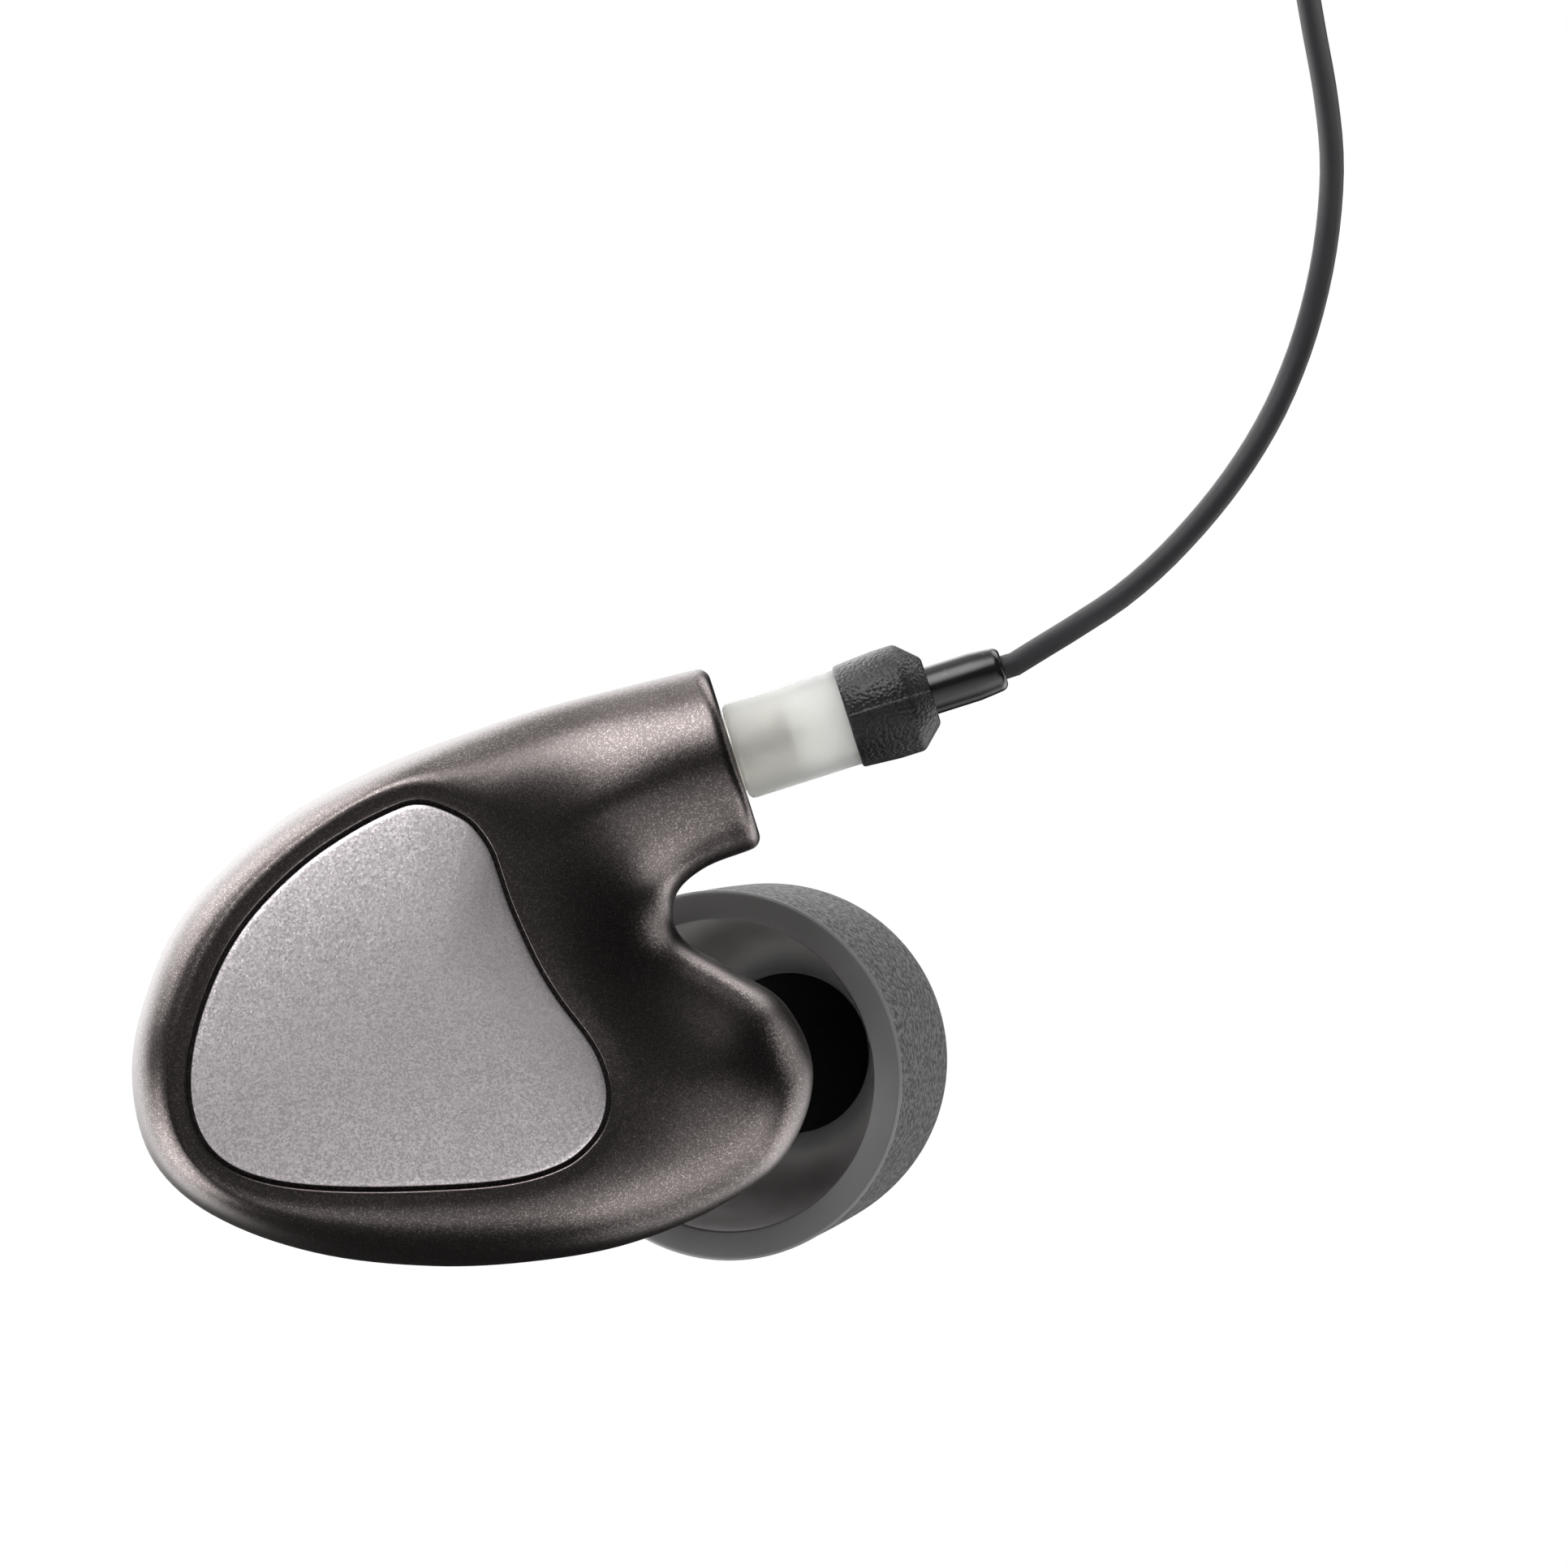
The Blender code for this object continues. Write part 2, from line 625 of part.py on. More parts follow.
def make_faceplate(earpiece):
    grid = HousingGrid()
    top = FRONT_CREST - PLATE_SUNK
    bottom = top - PLATE_THICKNESS
    bm = bmesh.new()
    edge = [
        (grid.plate, bottom), (grid.plate, top - PLATE_CHAMFER),
        (offset_closed(grid.plate, -PLATE_CHAMFER), top),
    ]
    for factor in (0.7, 0.35):
        raised = top + PLATE_DOME * (1.0 - factor * factor)
        edge.append((scaled_about_middle(grid.plate, factor), raised))
    rows = [[bm.verts.new((*point, height)) for point in curve] for curve, height in edge]
    for outer, inner in zip(rows, rows[1:]):
        skin_between(bm, outer, inner)
    middle = sum((vert.co for vert in rows[-1]), Vector()) / len(rows[-1])
    close_with_fan(bm, rows[-1], (middle.x, middle.y, top + PLATE_DOME))
    bm.faces.new(rows[0])
    add_part("faceplate", finish_mesh(bm, "faceplate"), BLASTED, earpiece)

    film = bpy.data.curves.new("faceplate_adhesive", "CURVE")
    film.dimensions = "2D"
    film.fill_mode = "BOTH"
    film.extrude = ADHESIVE_THICKNESS / 2.0
    for drawn_in in (PLATE_GAP, PLATE_GAP + ADHESIVE_WIDTH):
        loop = offset_closed(grid.plate, -drawn_in)[::2]
        line = film.splines.new("POLY")
        line.points.add(len(loop) - 1)
        for point, place in zip(line.points, loop):
            point.co = (*place, 0.0, 1.0)
        line.use_cyclic_u = True
    made = add_part("faceplate_adhesive", film, FILM, earpiece)
    made.location.z = recess_floor() + CLEARANCE + ADHESIVE_THICKNESS / 2.0


def make_nozzle(nozzle_axis):
    barb = NOZZLE_RADIUS + NOZZLE_BARB
    screen_seat = NOZZLE_BORE + SCREEN_SEAT
    seat_floor = NOZZLE_TIP - SCREEN_THICKNESS - SCREEN_SEAT
    turned("nozzle", [
        (NOZZLE_RADIUS - 0.1 * MM, NOZZLE_TIP), (NOZZLE_RADIUS, NOZZLE_TIP - 0.1 * MM),
        (NOZZLE_RADIUS, NOZZLE_BARB_AT + 0.5 * MM), (barb, NOZZLE_BARB_AT),
        (barb, NOZZLE_BARB_AT - 0.25 * MM), (NOZZLE_RADIUS, NOZZLE_BARB_AT - 0.35 * MM),
        (NOZZLE_RADIUS, NOZZLE_SEAT - CLEARANCE), (NOZZLE_FLANGE_RADIUS, NOZZLE_SEAT - CLEARANCE),
        (NOZZLE_FLANGE_RADIUS, NOZZLE_SEAT - NOZZLE_FLANGE),
        (NOZZLE_BORE, NOZZLE_SEAT - NOZZLE_FLANGE), (NOZZLE_BORE, seat_floor),
        (screen_seat, seat_floor), (screen_seat, NOZZLE_TIP),
    ], STEEL, nozzle_axis)
    screen = screen_seat - CLEARANCE
    turned("nozzle_screen", [
        (0.0, seat_floor + CLEARANCE + SCREEN_THICKNESS),
        (screen, seat_floor + CLEARANCE + SCREEN_THICKNESS), (screen, seat_floor + CLEARANCE),
        (0.0, seat_floor + CLEARANCE),
    ], STEEL, nozzle_axis, closed=False)


def make_ear_tip(nozzle_axis):
    bore = NOZZLE_RADIUS + NOZZLE_BARB + CLEARANCE
    front = TIP_LENGTH - CORE_RECESS
    turned("tip_core", [
        (CORE_RADIUS - 0.15 * MM, front), (CORE_RADIUS, front - 0.15 * MM),
        (CORE_RADIUS, CORE_BACK + 0.2 * MM), (CORE_RADIUS - 0.2 * MM, CORE_BACK),
        (bore, CORE_BACK), (bore, front),
    ], BLACK_RUBBER, nozzle_axis)
    hub = CORE_RADIUS + CLEARANCE
    hollow_rim = TIP_RIM_RADIUS - TIP_RIM_BAND
    dome_side = [(share * TIP_RIM_RADIUS, at * TIP_LENGTH) for share, at in TIP_SHAPE]
    turned("tip_bell", [
        (TIP_FRONT_RADIUS, TIP_LENGTH), *dome_side, (TIP_RIM_RADIUS, TIP_EDGE),
        (TIP_RIM_RADIUS - TIP_EDGE, 0.0), (hollow_rim + TIP_EDGE, 0.0), (hollow_rim, TIP_EDGE),
        (0.98 * hollow_rim, 0.55 * TIP_HOLLOW), (0.86 * hollow_rim, 0.8 * TIP_HOLLOW),
        (0.66 * hollow_rim, 0.96 * TIP_HOLLOW), (hub, TIP_HOLLOW), (hub, TIP_LENGTH),
    ], GREY_RUBBER, nozzle_axis, steps=TIP_STEPS)


def mesh_from_curve(curve_object):
    """Plain mesh of a curve object, welded, in the curve's own coordinates."""
    bpy.context.view_layer.update()
    solid = curve_object.evaluated_get(bpy.context.evaluated_depsgraph_get())
    mesh = bpy.data.meshes.new_from_object(solid)
    bm = bmesh.new()
    bm.from_mesh(mesh)
    bmesh.ops.remove_doubles(bm, verts=bm.verts, dist=MERGE)
    bm.to_mesh(mesh)
    bm.free()
    bpy.data.objects.remove(curve_object)
    return mesh


def tube_curve(name, points, radius, resolution, caps=True):
    curve = bpy.data.curves.new(name, "CURVE")
    curve.dimensions = "3D"
    curve.bevel_depth = radius
    curve.bevel_resolution = resolution
    curve.render_resolution_u = 0
    curve.use_fill_caps = caps
    line = curve.splines.new("POLY")
    line.points.add(len(points) - 1)
    for point, place in zip(line.points, points):
        point.co = (*place, 1.0)
    return curve


def wire(name, route, parent):
    points = spline(route, WIRE_SAMPLES, closed=False)
    return add_part(name, tube_curve(name, points, WIRE_RADIUS, 1), COPPER, parent)


def in_mm(*values):
    return Vector(values) * MM


def make_drivers(earpiece, nozzle_axis):
    """Driver cans, each with its spout, sound tube and damper, led into the nozzle's bore."""
    axis = nozzle_axis.matrix_local
    mouth = NOZZLE_SEAT - NOZZLE_FLANGE
    for index, (name, (size, centre)) in enumerate(DRIVERS.items()):
        size, centre = in_mm(*size), in_mm(*centre)
        can = add_part(name + "_driver", box_mesh(name, size, CAN_ROUNDING), CAN_METAL, earpiece)
        can.location = centre
        front = centre.x + size.x / 2.0
        spout = turned_cutter(name + "_spout", [
            (0.0, SPOUT_LENGTH), (SPOUT_RADIUS, SPOUT_LENGTH), (SPOUT_RADIUS, -CAN_ROUNDING),
            (0.0, -CAN_ROUNDING),
        ], earpiece, steps=SMALL_STEPS)
        spout.matrix_local = Matrix.Translation((front, centre.y, centre.z)) @ Matrix.Rotation(
            math.pi / 2.0, 4, "Y")
        boolean(can, "UNION", spout)

        turn = math.tau * (index - 1) / len(DRIVERS)
        side = (TUBE_SPREAD * math.cos(turn), TUBE_SPREAD * math.sin(turn))
        start = Vector((front + CLEARANCE + CAN_ROUNDING, centre.y, centre.z))
        ahead = start + in_mm(1.6, 0.0, 0.0)
        above = axis @ Vector((*side, mouth - 2.0 * MM))
        entry = axis @ Vector((*side, mouth))
        inside = axis @ Vector((*side, mouth + TUBE_INSERTED))
        between = (ahead + above) / 2.0 + in_mm(0.0, 0.0, 0.3)
        route = spline([start, ahead, between, above, entry, inside], 2, closed=False)
        bare = tube_curve(name + "_tube", route, TUBE_RADIUS, 1, caps=False)
        holder = add_cutter(name + "_tube_line", bare, earpiece)
        tube = add_part(name + "_tube", mesh_from_curve(holder), CLEAR_TUBE, earpiece)
        wall = tube.modifiers.new("wall", "SOLIDIFY")
        wall.thickness = TUBE_WALL
        wall.offset = -1.0
        if name == "high":
            continue
        bore = TUBE_RADIUS - TUBE_WALL - CLEARANCE
        damper = turned(name + "_damper", [
            (0.0, DAMPER_LENGTH / 2.0), (bore, DAMPER_LENGTH / 2.0), (bore, -DAMPER_LENGTH / 2.0),
            (0.0, -DAMPER_LENGTH / 2.0),
        ], DAMPER_GREEN, earpiece, closed=False, steps=SMALL_STEPS)
        run = (inside - entry).normalized()
        damper.matrix_local = Matrix.Translation(inside - run * DAMPER_LENGTH) @ (
            run.to_track_quat("Z", "Y").to_matrix().to_4x4())


def make_crossover(earpiece, connector):
    board = add_part("crossover_board", box_mesh("board", BOARD_SIZE), BOARD_GREEN, earpiece)
    board.location = BOARD_CENTRE
    middle = Vector(BOARD_CENTRE)
    top = BOARD_CENTRE[2] + BOARD_SIZE[2] / 2.0 + CLEARANCE
    left = BOARD_CENTRE[0] - BOARD_SIZE[0] / 4.0
    right = BOARD_CENTRE[0] + BOARD_SIZE[0] / 8.0
    for name, size, x, finish in (("crossover_capacitor", CAPACITOR_SIZE, left, CERAMIC),
                                  ("crossover_resistor", RESISTOR_SIZE, right, DARK_CHIP)):
        chip = add_part(name, box_mesh(name, size), finish, earpiece)
        chip.location = (x, BOARD_CENTRE[1], top + size[2] / 2.0)

    axis = connector.matrix_local
    tail = axis @ Vector((0.0, 0.0, -SOCKET_LENGTH - CONTACT_TAIL - CLEARANCE))
    rim = axis @ Vector((0.0, (SOCKET_BORE + SOCKET_RADIUS) / 2.0, -SOCKET_LENGTH - CLEARANCE))
    back = axis.to_3x3() @ Vector((0.0, 0.0, -1.0))
    pad = top + WIRE_RADIUS
    up = in_mm(0.0, 0.0, 0.35)
    edge = middle.x + BOARD_SIZE[0] / 2.0
    signal_pad = Vector((edge - 0.4 * MM, middle.y + 0.5 * MM, pad))
    ground_pad = Vector((edge - 0.4 * MM, middle.y - 0.5 * MM, pad))
    wire("signal_wire", [tail, tail + back * 0.6 * MM, signal_pad + up + in_mm(0.5, 0.0, 0.0),
                         signal_pad], earpiece)
    wire("ground_wire", [rim, rim + back * 0.9 * MM, ground_pad + up + in_mm(0.5, 0.0, 0.0),
                         ground_pad], earpiece)
    starts = {"low": -1.1, "mid": -2.0, "high": 0.9}
    for name, (size, centre) in DRIVERS.items():
        size, centre = in_mm(*size), in_mm(*centre)
        start = Vector((middle.x + in_mm(starts[name], 0, 0).x, middle.y - BOARD_SIZE[1] / 2.0
                        + 0.25 * MM, pad))
        end = centre + Vector((0.0, 0.0, size.z / 2.0 + CLEARANCE + WIRE_RADIUS))
        halfway = (start + end) / 2.0 + in_mm(0.0, 0.0, 0.55)
        wire(name + "_wire", [start, start + up, halfway, end + up, end], earpiece)


def make_socket(connector):
    back = -SOCKET_LENGTH
    flange_front = SOCKET_FLANGE_AT + SOCKET_FLANGE / 2.0
    flange_back = SOCKET_FLANGE_AT - SOCKET_FLANGE / 2.0
    lead_in = 0.12 * MM
    turned("socket_barrel", [
        (SOCKET_RADIUS, -SOCKET_RIM_SUNK), (SOCKET_RADIUS, flange_front),
        (SOCKET_FLANGE_RADIUS, flange_front), (SOCKET_FLANGE_RADIUS, flange_back),
        (SOCKET_RADIUS, flange_back), (SOCKET_RADIUS, back), (SOCKET_BORE, back),
        (SOCKET_BORE, -SOCKET_RIM_SUNK - lead_in),
        (SOCKET_BORE + lead_in, -SOCKET_RIM_SUNK),
    ], BRASS, connector, steps=INNER_STEPS)
    insulator_back = back + 0.1 * MM
    turned("socket_insulator", [
        (SOCKET_BORE - CLEARANCE, insulator_back + SOCKET_INSULATOR),
        (SOCKET_BORE - CLEARANCE, insulator_back),
        (CONTACT_RADIUS + CLEARANCE, insulator_back),
        (CONTACT_RADIUS + CLEARANCE, insulator_back + SOCKET_INSULATOR),
    ], WHITE_PLASTIC, connector, steps=INNER_STEPS)
    bore_floor = -PIN_INSERTED - 0.3 * MM
    turned("socket_contact", [
        (0.0, bore_floor), (CONTACT_BORE, bore_floor), (CONTACT_BORE, CONTACT_MOUTH),
        (CONTACT_RADIUS, CONTACT_MOUTH), (CONTACT_RADIUS, back - CONTACT_TAIL),
        (0.0, back - CONTACT_TAIL),
    ], BRASS, connector, closed=False, steps=SMALL_STEPS)


def make_plug(connector):
    bore = PLUG_RADIUS - PLUG_WALL
    groove_front = RING_GROOVE_AT + RING_GROOVE_WIDTH / 2.0
    groove_back = RING_GROOVE_AT - RING_GROOVE_WIDTH / 2.0
    groove = PLUG_RADIUS - RING_GROOVE_DEPTH
    nose = -PLUG_INSERTED
    turned("plug_barrel", [
        (PLUG_RADIUS, PLUG_TAIL), (PLUG_RADIUS, groove_front), (groove, groove_front),
        (groove, groove_back), (PLUG_RADIUS, groove_back), (PLUG_RADIUS, nose + 0.15 * MM),
        (PLUG_RADIUS - 0.15 * MM, nose), (bore, nose), (bore, PLUG_TAIL),
    ], BRASS, connector, steps=INNER_STEPS)
    turned("plug_insulator", [
        (bore - CLEARANCE, PLUG_TAIL - 0.2 * MM), (bore - CLEARANCE, PLUG_INSULATOR_FRONT),
        (PIN_RADIUS + CLEARANCE, PLUG_INSULATOR_FRONT),
        (PIN_RADIUS + CLEARANCE, PLUG_TAIL - 0.2 * MM),
    ], WHITE_PLASTIC, connector, steps=INNER_STEPS)
    turned("plug_pin", [
        (0.0, PLUG_TAIL + 0.4 * MM), (PIN_RADIUS, PLUG_TAIL + 0.4 * MM),
        (PIN_RADIUS, -PIN_INSERTED + PIN_RADIUS), (0.4 * PIN_RADIUS, -PIN_INSERTED),
        (0.0, -PIN_INSERTED),
    ], BRASS, connector, closed=False, steps=SMALL_STEPS)

    ring_inside = groove + CLEARANCE / 2.0
    ring_outside = PLUG_RADIUS + RING_PROUD
    half = RING_GROOVE_WIDTH / 2.0 - CLEARANCE
    section = [(ring_outside, half), (ring_outside, -half), (ring_inside, -half),
               (ring_inside, half)]
    ring = add_part("snap_ring", split_ring_mesh("snap_ring", section), STEEL, connector)
    ring.location.z = RING_GROOVE_AT

    sleeve_bore = PLUG_RADIUS + CLEARANCE
    near, far = SLEEVE_GAP, SLEEVE_GAP + SLEEVE_LENGTH
    turned("plug_sleeve", [
        (SLEEVE_RADIUS - SLEEVE_EDGE, far), (SLEEVE_RADIUS, far - SLEEVE_EDGE),
        (SLEEVE_RADIUS, near + SLEEVE_EDGE), (SLEEVE_RADIUS - SLEEVE_EDGE, near),
        (sleeve_bore, near), (sleeve_bore, far),
    ], CLEAR_PLASTIC, connector)
    relief_bore = RELIEF_RADIUS + CLEARANCE
    front, rear = far + CLEARANCE, far + CLEARANCE + COLLAR_LENGTH
    shoulder = rear - COLLAR_CHAMFER
    turned("plug_collar", [
        (COLLAR_REAR_RADIUS, rear), (COLLAR_RADIUS, shoulder),
        (COLLAR_RADIUS, front + 0.45 * COLLAR_LENGTH), (COLLAR_FRONT_RADIUS, front + 0.08 * MM),
        (COLLAR_FRONT_RADIUS - 0.08 * MM, front), (relief_bore, front), (relief_bore, rear),
    ], BLACK_PLASTIC, connector)
    relief_end = rear + RELIEF_LENGTH
    lead_bore = LEAD_RADIUS + CLEARANCE
    bore_floor = relief_end - LEAD_IN_RELIEF - CORD_JOINT_GAP
    turned("strain_relief", [
        (0.0, bore_floor), (lead_bore, bore_floor), (lead_bore, relief_end),
        (RELIEF_END_RADIUS - 0.12 * MM, relief_end), (RELIEF_END_RADIUS, relief_end - 0.12 * MM),
        (RELIEF_RADIUS, rear + 0.6 * RELIEF_LENGTH), (RELIEF_RADIUS, rear - RELIEF_INSIDE),
        (0.0, rear - RELIEF_INSIDE),
    ], BLACK_PLASTIC, connector, closed=False)
    return relief_end


def split_ring_mesh(name, section):
    """C-shaped ring: the section spun round the axis, short of a full turn, with closed ends."""
    bm = bmesh.new()
    start = RING_SLOT / 2.0
    verts = [bm.verts.new((radius * math.cos(start), radius * math.sin(start), height))
             for radius, height in section]
    face = bm.faces.new(verts)
    spun = bmesh.ops.spin(bm, geom=[face], axis=(0.0, 0.0, 1.0), cent=(0.0, 0.0, 0.0),
                          angle=math.tau - RING_SLOT, steps=ROUND_STEPS)
    bmesh.ops.remove_doubles(bm, verts=bm.verts, dist=MERGE)
    return finish_mesh(bm, name)


def cord(name, points, resolution):
    return add_part(name, tube_curve(name, points, LEAD_RADIUS, resolution), CABLE, None)


def even_points(curve, step):
    """Points about one step apart along a dense curve, with both its ends kept."""
    lengths = [0.0]
    for first, second in zip(curve, curve[1:]):
        lengths.append(lengths[-1] + (second - first).length)
    count = max(2, round(lengths[-1] / step))
    places, index = [], 0
    for number in range(count + 1):
        want = lengths[-1] * number / count
        while index < len(curve) - 2 and lengths[index + 1] < want:
            index += 1
        share = (want - lengths[index]) / (lengths[index + 1] - lengths[index])
        places.append(curve[index].lerp(curve[index + 1], min(1.0, share)))
    return places


def coil_points():
    """Loops that spiral in and out again, layer on layer, with the climb at each reversal."""
    total = COIL_LAYERS * COIL_TURNS_PER_LAYER
    outer = COIL_INNER_RADIUS + COIL_TURNS_PER_LAYER * COIL_PITCH
    base = TIE_THICKNESS + TIE_GAP + LEAD_RADIUS + REST_GAP
    points = []
    for number in range(round(total * COIL_POINTS_PER_TURN) + 1):
        turn = number / COIL_POINTS_PER_TURN
        layer, along = divmod(turn, COIL_TURNS_PER_LAYER)
        if layer % 2:
            radius = COIL_INNER_RADIUS + along * COIL_PITCH
        else:
            radius = outer - along * COIL_PITCH
        if layer >= COIL_LAYERS:
            radius = outer
        climb = sum(float(smooth_share(turn, at - 0.25, at + 0.25))
                    for at in (COIL_TURNS_PER_LAYER * step for step in range(1, COIL_LAYERS)))
        angle = COIL_START - math.tau * turn
        points.append(Vector((COIL_CENTRE[0] + radius * math.cos(angle),
                              COIL_CENTRE[1] + radius * math.sin(angle),
                              base + climb * COIL_PITCH)))
    return points


def least_gap_to_itself(points, radius):
    """Least room between the turns, measured on the centreline's points and the tube's radius."""
    places = np.array(points)
    skip = COIL_POINTS_PER_TURN // 3
    least = math.inf
    for index in range(len(places) - skip):
        apart = np.sqrt(((places[index + skip:] - places[index]) ** 2).sum(1)).min()
        least = min(least, apart)
    return least - 2.0 * radius


def make_lead(connector, relief_end, jack_back):
    axis = connector.matrix_world
    out = (axis.to_3x3() @ Vector((0.0, 0.0, 1.0))).normalized()
    leave = axis @ Vector((0.0, 0.0, relief_end))
    coil = coil_points()
    straight = 2.0 * LEAD_RADIUS
    first_run = (coil[0] - coil[1]).normalized()
    last_run = (coil[-1] - coil[-2]).normalized()
    coil = [coil[0] + first_run * straight, *coil, coil[-1] + last_run * straight]
    gap = least_gap_to_itself(coil, LEAD_RADIUS)
    print("least gap of the coil to itself: %.2f mm" % (gap / MM))

    start = leave - out * LEAD_IN_RELIEF
    route = [start, leave, leave + out * LEAD_RADIUS]
    route += [in_mm(*point) for point in LEAD_ROUTE]
    meet = coil[0] + first_run * CORD_JOINT_GAP
    route += [meet + first_run * straight, meet]
    cord("lead", even_points(spline(route, 12, closed=False), LEAD_STEP), 2)
    cord("lead_coil", coil, 1)

    begin = coil[-1] + last_run * CORD_JOINT_GAP
    end, heading = jack_back
    route = [begin, begin + last_run * straight, *(in_mm(*point) for point in TAIL_ROUTE)]
    route += [end - heading * LEAD_STRAIGHT, end - heading * LEAD_IN_RELIEF, end]
    cord("lead_tail", even_points(spline(route, 12, closed=False), LEAD_STEP), 2)
    make_coil_tie()


def make_coil_tie():
    """Strap round the bundle of loops, standing across it."""
    width = COIL_TURNS_PER_LAYER * COIL_PITCH + 2.0 * (LEAD_RADIUS + TIE_GAP)
    height = (COIL_LAYERS - 1) * COIL_PITCH + 2.0 * (LEAD_RADIUS + TIE_GAP)
    strap = bpy.data.curves.new("coil_tie", "CURVE")
    strap.dimensions = "2D"
    strap.fill_mode = "BOTH"
    strap.extrude = TIE_WIDTH / 2.0
    for grown in (0.0, TIE_THICKNESS):
        loop = rounded_rectangle(width + 2.0 * grown, height + 2.0 * grown, TIE_CORNER + grown)
        line = strap.splines.new("POLY")
        line.points.add(len(loop) - 1)
        for point, place in zip(line.points, loop):
            point.co = (*place, 0.0, 1.0)
        line.use_cyclic_u = True
    tie = add_part("coil_tie", strap, STRAP)
    middle = COIL_INNER_RADIUS + COIL_TURNS_PER_LAYER * COIL_PITCH / 2.0
    tie.rotation_euler = (math.pi / 2.0, 0.0, TIE_AT)
    tie.location = (COIL_CENTRE[0] + middle * math.cos(TIE_AT),
                    COIL_CENTRE[1] + middle * math.sin(TIE_AT),
                    TIE_THICKNESS + REST_GAP + height / 2.0)


def rounded_rectangle(width, height, corner, steps=4):
    loop = []
    for quarter, (right, up) in enumerate(((1, 1), (-1, 1), (-1, -1), (1, -1))):
        for step in range(steps + 1):
            turn = math.pi / 2.0 * (quarter + step / steps)
            loop.append((right * (width / 2.0 - corner) + corner * math.cos(turn),
                         up * (height / 2.0 - corner) + corner * math.sin(turn)))
    return loop


def make_jack():
    """Three-pole jack lying on the table; returns where the lead meets it."""
    turn = Matrix.Rotation(JACK_HEADING, 4, "Z") @ Matrix.Rotation(math.pi / 2.0, 4, "Y")
    place = Matrix.Translation((*JACK_PLACE, HANDLE_RADIUS + REST_GAP))
    jack = add_empty("jack_axis", place @ turn)

    def shell(level):
        """Inside and outside radius of one of the nested conductors and insulators."""
        inside = JACK_ROD_RADIUS + level * (JACK_TUBE_WALL + CLEARANCE) + CLEARANCE
        return inside, inside + JACK_TUBE_WALL

    tip_back = JACK_LENGTH - JACK_TIP_LENGTH
    ring_front = tip_back - JACK_INSULATOR_LENGTH - CLEARANCE
    ring_back = ring_front - JACK_RING_LENGTH
    sleeve_front = ring_back - JACK_INSULATOR_LENGTH - CLEARANCE
    turned("jack_tip", [
        (0.0, JACK_LENGTH), (0.3 * JACK_RADIUS, JACK_LENGTH - 0.1 * MM),
        (JACK_RADIUS, JACK_LENGTH - 0.45 * JACK_TIP_LENGTH),
        (JACK_NECK_RADIUS, JACK_LENGTH - 0.75 * JACK_TIP_LENGTH),
        (JACK_RADIUS, tip_back + 0.2 * MM), (JACK_RADIUS, tip_back), (JACK_ROD_RADIUS, tip_back),
        (JACK_ROD_RADIUS, -JACK_INSIDE), (0.0, -JACK_INSIDE),
    ], CONTACT_PLATE, jack, closed=False)
    for name, level, front, back, finish in (
            ("jack_inner_insulator", 0, tip_back - CLEARANCE, ring_front + CLEARANCE,
             BLACK_PLASTIC),
            ("jack_ring", 1, ring_front, ring_back, CONTACT_PLATE),
            ("jack_outer_insulator", 2, ring_back - CLEARANCE, sleeve_front + CLEARANCE,
             BLACK_PLASTIC)):
        inside, outside = shell(level)
        tail = -JACK_INSIDE + (level + 1) * 0.8 * MM
        turned(name, [
            (JACK_RADIUS, front), (JACK_RADIUS, back), (outside, back), (outside, tail),
            (inside, tail), (inside, front),
        ], finish, jack, steps=INNER_STEPS)
    inside, outside = shell(3)
    collar = 0.6 * MM
    turned("jack_sleeve", [
        (JACK_RADIUS, sleeve_front), (JACK_RADIUS, -HANDLE_CHAMFER),
        (JACK_RADIUS + collar, -HANDLE_CHAMFER), (JACK_RADIUS + collar, -HANDLE_CHAMFER - collar),
        (inside, -HANDLE_CHAMFER - collar), (inside, sleeve_front),
    ], CONTACT_PLATE, jack)

    mouth = JACK_RADIUS + CLEARANCE
    pocket = JACK_RADIUS + collar + CLEARANCE
    lip = -HANDLE_CHAMFER + CLEARANCE
    back = -HANDLE_LENGTH
    boot_bore = BOOT_RADIUS + CLEARANCE
    turned("jack_handle", [
        (HANDLE_RADIUS - HANDLE_CHAMFER, 0.0), (HANDLE_RADIUS, -HANDLE_CHAMFER),
        (HANDLE_RADIUS, 0.25 * back), (HANDLE_RADIUS - HANDLE_WAIST, 0.5 * back),
        (HANDLE_RADIUS, 0.8 * back), (HANDLE_RADIUS, back + HANDLE_CHAMFER),
        (HANDLE_RADIUS - HANDLE_CHAMFER, back), (boot_bore, back), (boot_bore, -HANDLE_BORE_DEPTH),
        (pocket, -HANDLE_BORE_DEPTH), (pocket, lip), (mouth, lip), (mouth, 0.0),
    ], BLACK_PLASTIC, jack)
    boot_end = back - BOOT_LENGTH
    lead_bore = LEAD_RADIUS + CLEARANCE
    bore_floor = boot_end + LEAD_IN_RELIEF + CORD_JOINT_GAP
    turned("jack_boot", [
        (0.0, back + BOOT_INSIDE), (BOOT_RADIUS, back + BOOT_INSIDE),
        (BOOT_RADIUS, back - 0.3 * MM), (BOOT_END_RADIUS, boot_end), (lead_bore, boot_end),
        (lead_bore, bore_floor), (0.0, bore_floor),
    ], BLACK_PLASTIC, jack, closed=False)
    bpy.context.view_layer.update()
    into = (jack.matrix_world.to_3x3() @ Vector((0.0, 0.0, 1.0))).normalized()
    return jack.matrix_world @ Vector((0.0, 0.0, boot_end + LEAD_IN_RELIEF)), into


